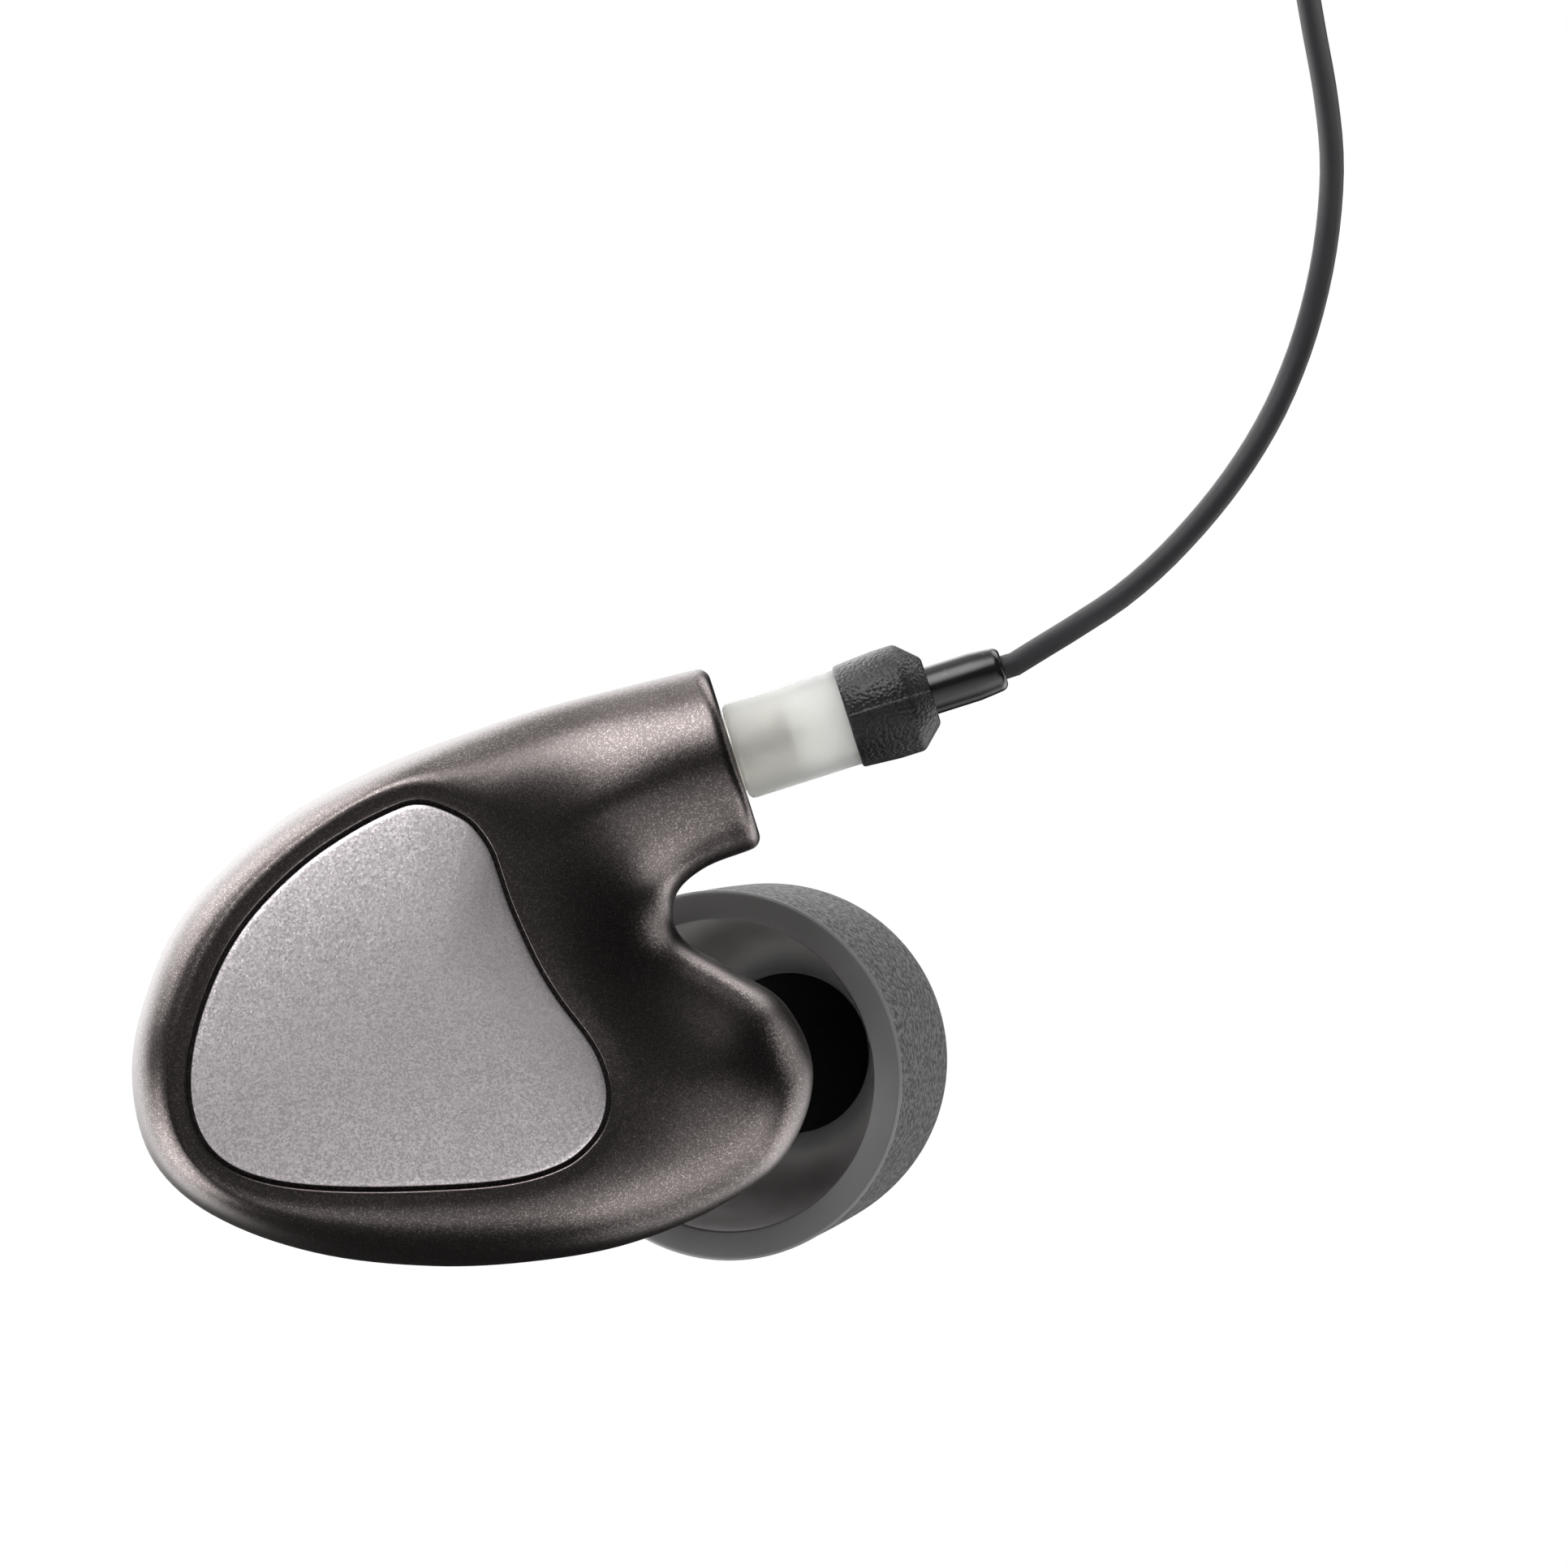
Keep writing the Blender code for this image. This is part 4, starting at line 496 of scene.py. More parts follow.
def offset_closed(curve, distance):
    """Moves a counter-clockwise outline outwards along its normals."""
    moved = []
    for index, point in enumerate(curve):
        along = (curve[(index + 1) % len(curve)] - curve[index - 1]).normalized()
        moved.append(point + Vector((along.y, -along.x)) * distance)
    return moved


def eased(curve, times):
    """Takes the small kinks out of a closed outline."""
    for _ in range(times):
        curve = [(curve[index - 1] + point * 2.0 + curve[(index + 1) % len(curve)]) / 4.0
                 for index, point in enumerate(curve)]
    return curve


def scaled_about_middle(curve, factor):
    middle = sum(curve, Vector((0.0, 0.0))) / len(curve)
    return [middle + (point - middle) * factor for point in curve]


def distance_to_path(points, path):
    """Least distance from each point to a polyline, all at once."""
    points = np.array(points)[:, None, :]
    starts = np.array(path[:-1])[None, :, :]
    runs = np.array(path[1:])[None, :, :] - starts
    share = ((points - starts) * runs).sum(2) / (runs * runs).sum(2)
    nearest = starts + np.clip(share, 0.0, 1.0)[:, :, None] * runs
    return np.sqrt(((points - nearest) ** 2).sum(2)).min(1)


def smooth_share(value, low, high):
    share = np.clip((value - low) / (high - low), 0.0, 1.0)
    return share * share * (3.0 - 2.0 * share)


def dome(distance, rounding):
    inside = 1.0 - np.clip(distance / rounding, 0.0, 1.0)
    return np.sqrt(1.0 - inside * inside)


def sheet_of_rows(bm, rows):
    """Closed band of quads through rows of points, each row a closed loop of the same count."""
    across = len(rows[0])
    band = bmesh.ops.create_grid(bm, x_segments=across, y_segments=len(rows) - 1, size=1.0,
                                 calc_uvs=False)["verts"]
    for row, points in enumerate(rows):
        for column in range(across + 1):
            band[row * (across + 1) + column].co = points[column % across]
    return band


def close_border(bm, level, reach):
    """Fills the open loop that lies at one height."""
    border = [edge for edge in bm.edges if edge.is_boundary
              and all(abs(vert.co.z - level) < reach for vert in edge.verts)]
    bmesh.ops.contextual_create(bm, geom=border)


def new_object(name, bm):
    """New object of a mesh under way, which is freed."""
    made = bpy.data.objects.new(name, bpy.data.meshes.new(name))
    bm.to_mesh(made.data)
    bm.free()
    bpy.context.scene.collection.objects.link(made)
    return made


def piece(name, bm, place, body, material, slot, node=None, smooth_angle=40.0):
    """Finishes a mesh in the earpiece's or a turned piece's frame as an object that rides."""
    bmesh.ops.transform(bm, matrix=place, verts=bm.verts)
    made = new_object(name, bm)
    made.data.shade_smooth()
    made.data.set_sharp_from_angle(angle=math.radians(smooth_angle))
    for one in material if isinstance(material, list) else [material]:
        made.data.materials.append(one)
    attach(made, body)
    if node:
        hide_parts(node)
    return made


def quarter(steps):
    """Angles from nothing to a right angle, in even steps."""
    return [math.pi / 2.0 * step / steps for step in range(steps + 1)]


def turned(section, rounding=0.03, steps=128, closed=True):
    """Solid of revolution from its half section in millimetres (radius, height), edges rounded."""
    bm = bmesh.new()
    verts = [bm.verts.new((radius * MM, 0.0, height * MM)) for radius, height in section]
    edges = [bm.edges.new(pair) for pair in zip(verts, verts[1:])]
    if closed:
        edges.append(bm.edges.new((verts[-1], verts[0])))
    bmesh.ops.spin(bm, geom=verts + edges, axis=(0.0, 0.0, 1.0), cent=(0.0, 0.0, 0.0),
                   angle=math.tau, steps=steps, use_merge=True)
    bmesh.ops.remove_doubles(bm, verts=bm.verts, dist=MERGE)
    bmesh.ops.recalc_face_normals(bm, faces=bm.faces)
    if rounding:
        sharp = [edge for edge in bm.edges if len(edge.link_faces) == 2
                 and edge.calc_face_angle() > SHARP_ANGLE]
        bmesh.ops.bevel(bm, geom=sharp, offset=rounding * MM, affect="EDGES", segments=3,
                        profile=0.5, material=-1, clamp_overlap=True)
    return bm


def turned_piece(place, body, name, node, look, *shape, **options):
    """Turned piece on a body, with its look as material and a slot name that piece doesn't use,
    and its shape as for turned.
    """
    piece(name, turned(*shape, **options), place, body, *look, node)


def parting_line(bm, towards, steps, rise, least):
    """Raises the thin line that the halves of a mould leave along both sides of a turned piece."""
    step = math.tau / steps
    line = round(math.atan2(towards.y, towards.x) / step) * step
    along = Vector((math.cos(line), math.sin(line)))
    for vert in bm.verts:
        out = vert.co.xy
        if out.length > least * MM and abs(out.normalized().dot(along)) > math.cos(step / 2.0):
            vert.co.xy = out + out.normalized() * rise * MM


# Housing

def housing_heights(points, edge, crest, rounding, lobe_crest, shelf=None, creases=1.0):
    """Height of the housing's skin over its silhouette plane, for one side of it."""
    flat = np.array(points)
    reach = (flat - np.array(BOSS_END)) @ np.array(BOSS_ALONG)
    boss = smooth_share(reach, -BOSS_LENGTH, -0.25 * BOSS_LENGTH)
    lobe = smooth_share(flat[:, 0], LOBE_START_X, LOBE_FULL_X) * (1.0 - boss)
    body = 1.0 - boss - lobe
    top = crest * body + lobe_crest * lobe + BOSS_DEPTH * boss
    width = rounding * body + LOBE_ROUNDING * lobe
    away = distance_to_path(points, edge)
    if shelf:
        width = np.minimum((away + distance_to_path(points, shelf)) * creases, FRONT_REACH)
    return top * dome(away, width * (1.0 - boss) + (BOSS_TOP + BOSS_BOTTOM) / 2.0 * boss)


def column_steps(distance, width, count):
    """Places along one column that are even over a rounded edge and the flat behind it."""
    if width >= distance:
        reach = math.acos(1.0 - distance / width)
        return [width * (1.0 - math.cos(reach * step / count)) for step in range(count + 1)]
    arc = width * math.pi / 2.0
    total = arc + distance - width
    runs = [total * step / count for step in range(count + 1)]
    return [width * (1.0 - math.cos(run / width)) if run < arc else width + run - arc
            for run in runs]


class HousingOutlines:
    """Matched outlines of the housing: its silhouette, and the faceplate's edge."""

    def __init__(self, samples):
        end = BOSS_END - BOSS_ALONG * BOSS_ROUNDING
        top, bottom = end + BOSS_ACROSS * BOSS_TOP, end - BOSS_ACROSS * BOSS_BOTTOM
        flank = [top, *metres(SILHOUETTE), bottom]
        self.edge = spline(flank, samples, closed=False)
        end_steps = (len(PLATE_EDGE) - len(flank) + 1) * samples
        middle, half = (top + bottom) / 2.0, (top - bottom) / 2.0
        turns = [math.pi * step / end_steps for step in range(1, end_steps)]
        self.roundness = {len(self.edge) + number: math.cos(turn) ** 2
                          for number, turn in enumerate(turns)}
        self.silhouette = self.edge + [middle - half * math.cos(turn) for turn in turns]
        self.plate = eased(spline(metres(PLATE_EDGE), samples), 10)
        self.end = end

    def rows(self, inner, crest, rounding, lobe_crest, side):
        """Rings of points from the silhouette in to the inner outline, on one side."""
        shares, creases = [], []
        for column, (outer, target) in enumerate(zip(self.silhouette, inner)):
            distance = (target - outer).length
            width = max(rounding * self.roundness.get(column, 1.0), 0.01 * MM)
            shares.append([step / distance
                           for step in column_steps(distance, min(width, distance), RINGS)])
            facing = (outer - target).normalized().dot(CREASE_TOWARDS)
            creases.append(1.0 + CREASE * float(smooth_share(facing, 0.2, 0.8)))
        shelf = [*inner, inner[0]] if side > 0.0 else None
        rows = []
        for ring in range(RINGS + 1):
            flat = [outer.lerp(target, share[ring])
                    for outer, target, share in zip(self.silhouette, inner, shares)]
            heights = housing_heights(flat, self.edge, crest, rounding, lobe_crest, shelf, creases)
            rows.append(raised(flat, side * heights))
        return rows


def housing_skin(sizes):
    """Whole skin of the housing: flanks, lip and recess for the plate, back, and boss end."""
    lines = HousingOutlines(sizes.columns)
    gap, lip = sizes.plate_gap, sizes.lip_width
    foot = offset_closed(lines.plate, gap + lip)
    front = lines.rows(foot, FRONT_CREST, FRONT_ROUNDING, LOBE_CREST, 1.0)
    feet = np.array([point.z for point in front[-1]])
    rounded = [(EDGE_ROUNDING * (1.0 - math.sin(turn)), EDGE_ROUNDING * (1.0 - math.cos(turn)))
               for turn in quarter(5)]
    for out, drop in ((0.66 * lip, 0.0), (0.33 * lip, 0.0), *rounded):
        front.append(raised(offset_closed(lines.plate, gap + out), feet - drop))
    for out in (gap, gap - RECESS_LEDGE):
        front.append(raised(offset_closed(lines.plate, out), RECESS_FLOOR))
    core = scaled_about_middle(lines.plate, 0.5)
    back = lines.rows(core, BACK_CREST, BACK_ROUNDING, LOBE_BACK_CREST, -1.0)
    for factor in (0.84, 0.68, 0.52, 0.36, 0.2, 0.06):
        inner = scaled_about_middle(core, factor)
        heights = housing_heights(inner, lines.edge, BACK_CREST, BACK_ROUNDING, LOBE_BACK_CREST)
        back.append(raised(inner, -heights))

    bm = bmesh.new()
    mark = bm.verts.layers.int.new("eased")
    across = len(lines.plate) + 1
    for band in (sheet_of_rows(bm, front)[2 * across:RINGS * across],
                 sheet_of_rows(bm, back)[2 * across:]):
        for vert in band:
            vert[mark] = 1
    bmesh.ops.remove_doubles(bm, verts=bm.verts, dist=MERGE)
    soft = [vert for vert in bm.verts if vert[mark]]
    for _ in range(SOFTENING):
        bmesh.ops.smooth_vert(bm, verts=soft, factor=0.5, use_axis_x=True, use_axis_y=True,
                              use_axis_z=True)
    close_border(bm, RECESS_FLOOR, 0.01 * MM)
    close_border(bm, min(vert.co.z for vert in bm.verts), 0.3 * MM)
    open_boss_end(bm, lines.end)
    bmesh.ops.recalc_face_normals(bm, faces=bm.faces)
    return bm


def extruded(bm, rim):
    """Extrudes an open rim in place, and gives the new rim's edges and vertices."""
    made = bmesh.ops.extrude_edge_only(bm, edges=rim)["geom"]
    edges = [part for part in made if isinstance(part, bmesh.types.BMEdge) and part.is_boundary]
    return edges, [part for part in made if isinstance(part, bmesh.types.BMVert)]


def open_boss_end(bm, end):
    """Rounds the boss's end over, and leads it into the bore for the socket."""
    out = Vector((*BOSS_ALONG, 0.0))
    centre, hub = Vector((*end, 0.0)), Vector((*BOSS_END, 0.0))

    def outward(vert, middle):
        away = vert.co - middle
        return (away - out * away.dot(out)).normalized()

    rim = [edge for edge in bm.edges if edge.is_boundary]
    turns = quarter(6)
    for last, turn in zip(turns, turns[1:]):
        rim, verts = extruded(bm, rim)
        for vert in verts:
            inset = outward(vert, centre) * BOSS_ROUNDING * (math.cos(last) - math.cos(turn))
            vert.co += out * BOSS_ROUNDING * (math.sin(turn) - math.sin(last))
            vert.co -= inset
    for bore, depth in BOSS_BORE:
        rim, verts = extruded(bm, rim)
        reach = (centre + out * (BOSS_ROUNDING + depth) - hub).dot(out)
        for vert in verts:
            vert.co = hub + out * reach + outward(vert, hub) * bore


def cut_shell(sizes, keep_front):
    """One of the two shells, cut from the whole skin at the seam."""
    bm = housing_skin(sizes)
    half_gap = SEAM_HALF_GAP if keep_front else -SEAM_HALF_GAP
    bmesh.ops.bisect_plane(bm, geom=bm.verts[:] + bm.edges[:] + bm.faces[:], dist=MERGE,
                           plane_co=(0.0, 0.0, SEAM_Z + half_gap), plane_no=(0.0, 0.0, 1.0),
                           clear_inner=keep_front, clear_outer=not keep_front)
    return bm


def solidify(made, thickness, offset):
    """Gives an open sheet its thickness."""
    solid = made.modifiers.new("wall", "SOLIDIFY")
    solid.thickness, solid.offset = thickness, offset
    return solid


class MONITOR_OT_housing(bpy.types.Operator):
    """Makes the two painted shells of the housing, with the flat lip round the faceplate."""
    bl_idname = "monitor.housing"
    bl_label = "Housing"

    def execute(self, context):
        sizes = context.scene.monitor_housing
        paint = bronze_paint(sizes.paint)
        into = LAID.inverted()
        for name, node in (("painted_outer_shell", "outer_shell"),
                           ("painted_inner_shell", "inner_shell")):
            made = piece(name, cut_shell(sizes, node == "outer_shell"), LAID, "housing", paint,
                         "bronze_paint", node, 50.0)
            group = made.vertex_groups.new(name="wall")
            for vert in made.data.vertices:
                place = into @ vert.co
                thin = (place.z > THIN_ABOVE
                        or (place.xy - BOSS_END).dot(BOSS_ALONG) > THIN_ALONG_BOSS)
                group.add([vert.index], THIN_WALL if thin else 1.0, "REPLACE")
            solidify(made, sizes.wall, -1.0).vertex_group = "wall"
        turned_piece(NOZZLE, "housing", "painted_nozzle_stub", None, (paint, "bronze_paint"), [
            (1.56, -0.75), (2.15, -0.75), (2.25, -1.3), (2.45, -1.9), (2.9, -2.6), (3.3, -3.1),
            (1.56, -3.1),
        ], 0.12)
        return {"FINISHED"}


class MONITOR_OT_faceplate(bpy.types.Operator):
    """Makes the bead-blasted plate that is set into the housing's front."""
    bl_idname = "monitor.faceplate"
    bl_label = "Faceplate"

    def execute(self, context):
        sizes = context.scene.monitor_housing
        lines = HousingOutlines(sizes.columns)
        top = FRONT_CREST - PLATE_BELOW_CREST
        bevel = ((0.0, PLATE_THICK), (0.0, 0.05 * MM), (0.012 * MM, 0.02 * MM),
                 (0.035 * MM, 0.003 * MM))
        rows = [(offset_closed(lines.plate, -inset), top - drop) for inset, drop in bevel]
        for factor in (0.97, 0.9, 0.8, 0.7, 0.6, 0.5, 0.4, 0.3, 0.2, 0.1):
            rise = sizes.plate_dome * (1.0 - factor * factor)
            rows.append((scaled_about_middle(lines.plate, factor), top + rise))
        bm = bmesh.new()
        sheet_of_rows(bm, [raised(*row) for row in rows])
        bmesh.ops.remove_doubles(bm, verts=bm.verts, dist=MERGE)
        for _, level in (rows[0], rows[-1]):
            close_border(bm, level, 0.02 * MM)
        bmesh.ops.recalc_face_normals(bm, faces=bm.faces)
        piece("blasted_faceplate", bm, LAID, "housing", blasted_metal(sizes.plate),
              "blasted_aluminium", "faceplate")
        return {"FINISHED"}


# Ear tip and nozzle

class MONITOR_OT_ear_tip(bpy.types.Operator):
    """Makes the rubber ear tip: stippled bell, smooth rim and hollow, and black stem."""
    bl_idname = "monitor.ear_tip"
    bl_label = "Ear tip"

    def execute(self, context):
        sizes = context.scene.monitor_tip
        rim, length, band = sizes.rim_radius / MM, sizes.length / MM, sizes.rim_band / MM
        hollow, depth, hub = rim - band, HOLLOW_DEPTH, HUB_RADIUS
        outside = spline([
            (3.4, length), (0.70 * rim, 0.972 * length), (0.82 * rim, 0.915 * length),
            (0.905 * rim, 0.83 * length), (0.95 * rim, 0.70 * length), (0.972 * rim, 0.5 * length),
            (0.99 * rim, 0.25 * length), (rim, 0.16),
        ], 5, closed=False)
        flash = [(rim + 0.035, 0.13), (rim + 0.035, 0.07), (rim - 0.04, 0.02), (rim - 0.14, 0.0)]
        lip = [(hollow + 0.16, 0.0), (hollow + 0.05, 0.04), (hollow, 0.16)]
        inside = spline([
            lip[-1], (0.98 * hollow, 0.55 * depth), (0.86 * hollow, 0.8 * depth),
            (0.66 * hollow, 0.96 * depth), (hub, depth),
        ], 5, closed=False)[1:]
        bell = turned([*outside, *flash, *lip, *inside, (hub, length)], 0.0, steps=160)
        # Painted shade: a share on each vertex, 0 at the hub and 1 beyond the reach, that darkens
        # the hollow to the stem's black
        shade = bell.verts.layers.float.new("shade")
        for vert in bell.verts:
            vert[shade] = float(smooth_share(vert.co.xy.length / MM, hub, hub + SHADE_REACH))
        outer, rim_face, inner, edge = range(4)
        for face in bell.faces:
            away = face.calc_center_median() / MM
            radius, height = away.xy.length, away.z
            face.material_index = outer
            if height < 0.14:
                face.material_index = edge if radius > rim - 0.02 else rim_face
            elif radius < hollow and height < depth + 0.01 and face.normal.z < 0.3:
                face.material_index = inner
        finishes = [grey_rubber(sizes.rubber),
                    smooth_rubber("rim_rubber", toned(sizes.rubber, 1.72), 0.45, 0.6),
                    # The hollow's rubber is 4.6 times the bell's colour: painted light, for light
                    # that doesn't reach into the hollow
                    hollow_rubber(toned(sizes.rubber, 4.6), sizes.core),
                    # The flash's rubber is 2.9 times the bell's colour: a painted highlight along
                    # the flash's edge
                    smooth_rubber("flash_highlight_rubber", toned(sizes.rubber, 2.9), 0.4, 0.5)]
        piece("rubber_bell", bell, NOZZLE, "ear_tip", finishes, "grey_rubber", "tip_bell")
        black = smooth_rubber("black_rubber", sizes.core, 0.7, 0.85, Specular_IOR_Level=0.1)
        front = length - 0.35
        turned_piece(NOZZLE, "ear_tip", "rubber_stem", "tip_core", (black, "black_rubber"), [
            (2.45, front), (2.7, 7.9), (2.58, 6.2), (2.47, 4.2), (2.45, -0.55), (1.68, -0.55),
            (1.68, front),
        ], 0.16)
        return {"FINISHED"}


class MONITOR_OT_nozzle(bpy.types.Operator):
    """Makes the steel nozzle with its barb, and the woven screen in its mouth."""
    bl_idname = "monitor.nozzle"
    bl_label = "Nozzle"

    def execute(self, context):
        steel = turned_metal("steel", STEEL, axis_of(NOZZLE), *TURNED_ROUGH)
        turned_piece(NOZZLE, "housing", "steel_nozzle", "nozzle", (steel, "steel"), [
            (1.5, 6.9), (1.5, 5.1), (1.62, 4.6), (1.62, 4.35), (1.5, 4.25), (1.5, -2.06),
            (2.2, -2.06), (2.2, -2.5), (1.12, -2.5), (1.12, 6.35), (1.32, 6.35), (1.32, 6.9),
        ], 0.05)
        mesh = screen_mesh(STEEL)
        turned_piece(NOZZLE, "housing", "woven_screen", "nozzle_screen", (mesh, "steel"), [
            (0.0, 6.80), (0.5, 6.79), (1.26, 6.76), (1.26, 6.41), (0.0, 6.41),
        ], closed=False)
        return {"FINISHED"}


# Connector

class MONITOR_OT_connector(bpy.types.Operator):
    """Makes the coaxial socket in the boss, and the plug with its sleeve, collar and relief."""
    bl_idname = "monitor.connector"
    bl_label = "Connector"

    def execute(self, context):
        colours = context.scene.monitor_lead
        brass = (turned_metal("gilt_brass", colours.socket, axis_of(CONNECTOR), 0.42, 0.58),
                 "gilt_brass")
        turned_piece(CONNECTOR, "housing", "plated_socket", "socket_barrel", brass, [
            (1.9, -0.05), (1.9, -2.8), (2.25, -2.8), (2.25, -3.6), (1.9, -3.6), (1.9, -5.0),
            (1.36, -5.0), (1.36, -0.17), (1.48, -0.05),
        ], steps=96)
        plug = (CONNECTOR, "lead")
        turned_piece(*plug, "plated_barrel", "plug_barrel", brass, [
            (1.3, 2.0), (1.3, -2.28), (1.11, -2.28), (1.11, -2.72), (1.3, -2.72), (1.3, -3.45),
            (1.15, -3.6), (0.96, -3.6), (0.96, 2.0),
        ], steps=96)
        turned_piece(*plug, "plated_pin", "plug_pin", brass, [
            (0.0, 2.4), (0.18, 2.4), (0.18, -2.82), (0.14, -2.92), (0.07, -3.0), (0.0, -3.0),
        ], 0.0, steps=48, closed=False)

        near, far, outside, inside, rounding = 0.05, 3.94, 1.615, 1.36, 0.22
        shoulder = [(outside - rounding * (1.0 - math.cos(turn)),
                     near + rounding * (1.0 - math.sin(turn))) for turn in quarter(6)]
        frosted = (frosted_plastic(colours.sleeve), "frosted_clear_plastic")
        turned_piece(*plug, "frosted_sleeve", "plug_sleeve", frosted, [
            (outside, far), *shoulder, (inside, near), (inside, far)], 0.0)

        front, rear, steps = 3.92, 6.80, 256
        collar = turned([
            (1.125, rear), (1.825, rear - 0.75), (1.825, front + 1.3), (1.73, front),
            (0.87, front), (0.87, rear),
        ], 0.10, steps)
        parting_line(collar, CONNECTOR.to_3x3().inverted() @ axis_of(LAID), steps, rise=0.028,
                     least=1.0)
        piece("textured_collar", collar, *plug, textured_plastic(colours.moulding),
              "black_plastic", "plug_collar")

        end = [(0.50 + 0.24 * math.sin(turn), RELIEF_END - 0.28 * (1.0 - math.cos(turn)))
               for turn in quarter(8)]
        glossy = (glossy_plastic(colours.moulding), "black_plastic")
        turned_piece(*plug, "glossy_relief", "strain_relief", glossy, [
            (0.0, 8.0), (0.46, 8.0), (0.46, RELIEF_END), *end, (0.765, 8.8), (0.81, 8.3),
            (0.81, 4.9), (0.0, 4.9),
        ], 0.0, closed=False)
        return {"FINISHED"}


# Lead, coil tie and jack

def even_points(curve, step):
    """Points about one step apart along a dense curve, with both its ends kept."""
    places = np.array(curve)
    runs = np.concatenate([[0.0], np.cumsum(np.sqrt((np.diff(places, axis=0) ** 2).sum(1)))])
    wanted = np.linspace(0.0, runs[-1], max(2, round(runs[-1] / step)) + 1)
    return [Vector(np.interp(want, runs, places[:, axis]) for axis in range(3)) for want in wanted]


def coil_points():
    """Loops that spiral in and out again, layer on layer, with the climb at each reversal."""
    outer = COIL_INNER + COIL_TURNS * COIL_PITCH
    points = []
    for number in range(COIL_LAYERS * COIL_TURNS * COIL_STEPS + 1):
        turn = number / COIL_STEPS
        layer, along = divmod(turn, COIL_TURNS)
        radius = COIL_INNER + along * COIL_PITCH if layer % 2 else outer - along * COIL_PITCH
        if layer >= COIL_LAYERS:
            radius = outer
        climb = sum(float(smooth_share(turn, at - 0.25, at + 0.25))
                    for at in range(COIL_TURNS, COIL_LAYERS * COIL_TURNS, COIL_TURNS))
        angle = COIL_START - math.tau * turn
        points.append(COIL_CENTRE + Vector((radius * math.cos(angle), radius * math.sin(angle),
                                            climb * COIL_PITCH)))
    return points


def lead_points():
    """Centreline of the whole lead, from inside the relief to inside the jack's boot."""
    out, heading = axis_of(CONNECTOR), axis_of(JACK)
    leave = CONNECTOR @ Vector((0.0, 0.0, RELIEF_END * MM))
    end = JACK @ Vector((0.0, 0.0, (BOOT_END + 1.0) * MM))
    coil = coil_points()
    runs = [(first - second).normalized() * 0.8 * MM
            for first, second in (coil[:2], coil[:-3:-1])]
    free = [leave - out * 1.0 * MM, leave, leave + out * 0.4 * MM,
            *metres(LEAD_ROUTE), coil[0] + runs[0] * 2.0, coil[0] + runs[0]]
    tail = [coil[-1] + runs[1], coil[-1] + runs[1] * 2.0,
            *metres(TAIL_ROUTE), end - heading * 3.2 * MM, end - heading * 1.0 * MM, end]
    free, tail = (even_points(spline(run, 12, closed=False), LEAD_STEP) for run in (free, tail))
    return [*free, *coil, *tail]


class MONITOR_OT_lead(bpy.types.Operator):
    """Makes the whole lead as one cord: the stretch from the relief, the coil and the tail."""
    bl_idname = "monitor.lead"
    bl_label = "Lead"

    def execute(self, context):
        sizes = context.scene.monitor_lead
        points = lead_points()
        curve = bpy.data.curves.new("cord", "CURVE")
        curve.dimensions = "3D"
        curve.bevel_depth = sizes.diameter / 2.0
        curve.bevel_resolution = 5
        curve.use_fill_caps = True
        line = curve.splines.new("POLY")
        line.points.add(len(points) - 1)
        for point, place in zip(line.points, points):
            point.co = (*place, 1.0)
        line.use_smooth = True
        curve.materials.append(cable_jacket(sizes.cable))
        made = bpy.data.objects.new("cord", curve)
        context.scene.collection.objects.link(made)
        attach(made, "lead")
        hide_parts("lead", "lead_coil", "lead_tail")
        return {"FINISHED"}


class MONITOR_OT_coil_tie(bpy.types.Operator):
    """Makes the woven strap that holds the coil, lapped over itself."""
    bl_idname = "monitor.coil_tie"
    bl_label = "Coil tie"

    def execute(self, context):
        width, height = (count * COIL_PITCH + TIE_ROOM for count in (COIL_TURNS, COIL_LAYERS - 1))
        bends = []
        for number, (right, up) in enumerate(((1, 1), (-1, 1), (-1, -1), (1, -1))):
            middle = Vector((right * (width / 2.0 - TIE_CORNER),
                             up * (height / 2.0 - TIE_CORNER)))
            for step in range(9):
                turn = math.pi / 2.0 * (number + step / 8.0)
                bends.append((middle, Vector((math.cos(turn), math.sin(turn)))))
        track, lap = ([middle + away * (TIE_CORNER + out) for middle, away in bends]
                      for out in TIE_WINDINGS)
        start = (track[-1] + track[0]) / 2.0
        line = [start, *track, start + Vector((0.06 * MM, 0.0)), *lap[:19]]
        line = even_points([Vector((*point, 0.0)) for point in line], 0.22 * MM)
        bm = bmesh.new()
        rows = 8
        band = bmesh.ops.create_grid(bm, x_segments=len(line) - 1, y_segments=rows, size=0.5,
                                     calc_uvs=True)["verts"]
        uv = bm.loops.layers.uv.verify()
        for number, vert in enumerate(band):
            row, column = divmod(number, len(line))
            vert.co = (*line[column].xy, TIE_WIDTH * (row / rows - 0.5))
            for around in vert.link_loops:
                around[uv].uv = (column / (len(line) - 1), row / rows)
        bmesh.ops.recalc_face_normals(bm, faces=bm.faces)
        middle = COIL_INNER + COIL_TURNS * COIL_PITCH / 2.0
        away = Vector((math.cos(TIE_AT), math.sin(TIE_AT))) * middle
        place = (Matrix.Translation(COIL_CENTRE + Vector((*away, (height - TIE_ROOM) / 2.0)))
                 @ Matrix.Rotation(TIE_AT, 4, "Z") @ Matrix.Rotation(math.pi / 2.0, 4, "X"))
        made = piece("woven_tie", bm, place, "lead", woven_strap(STRAP), "strap_black", "coil_tie")
        solidify(made, TIE_THICK, 0.0)
        return {"FINISHED"}


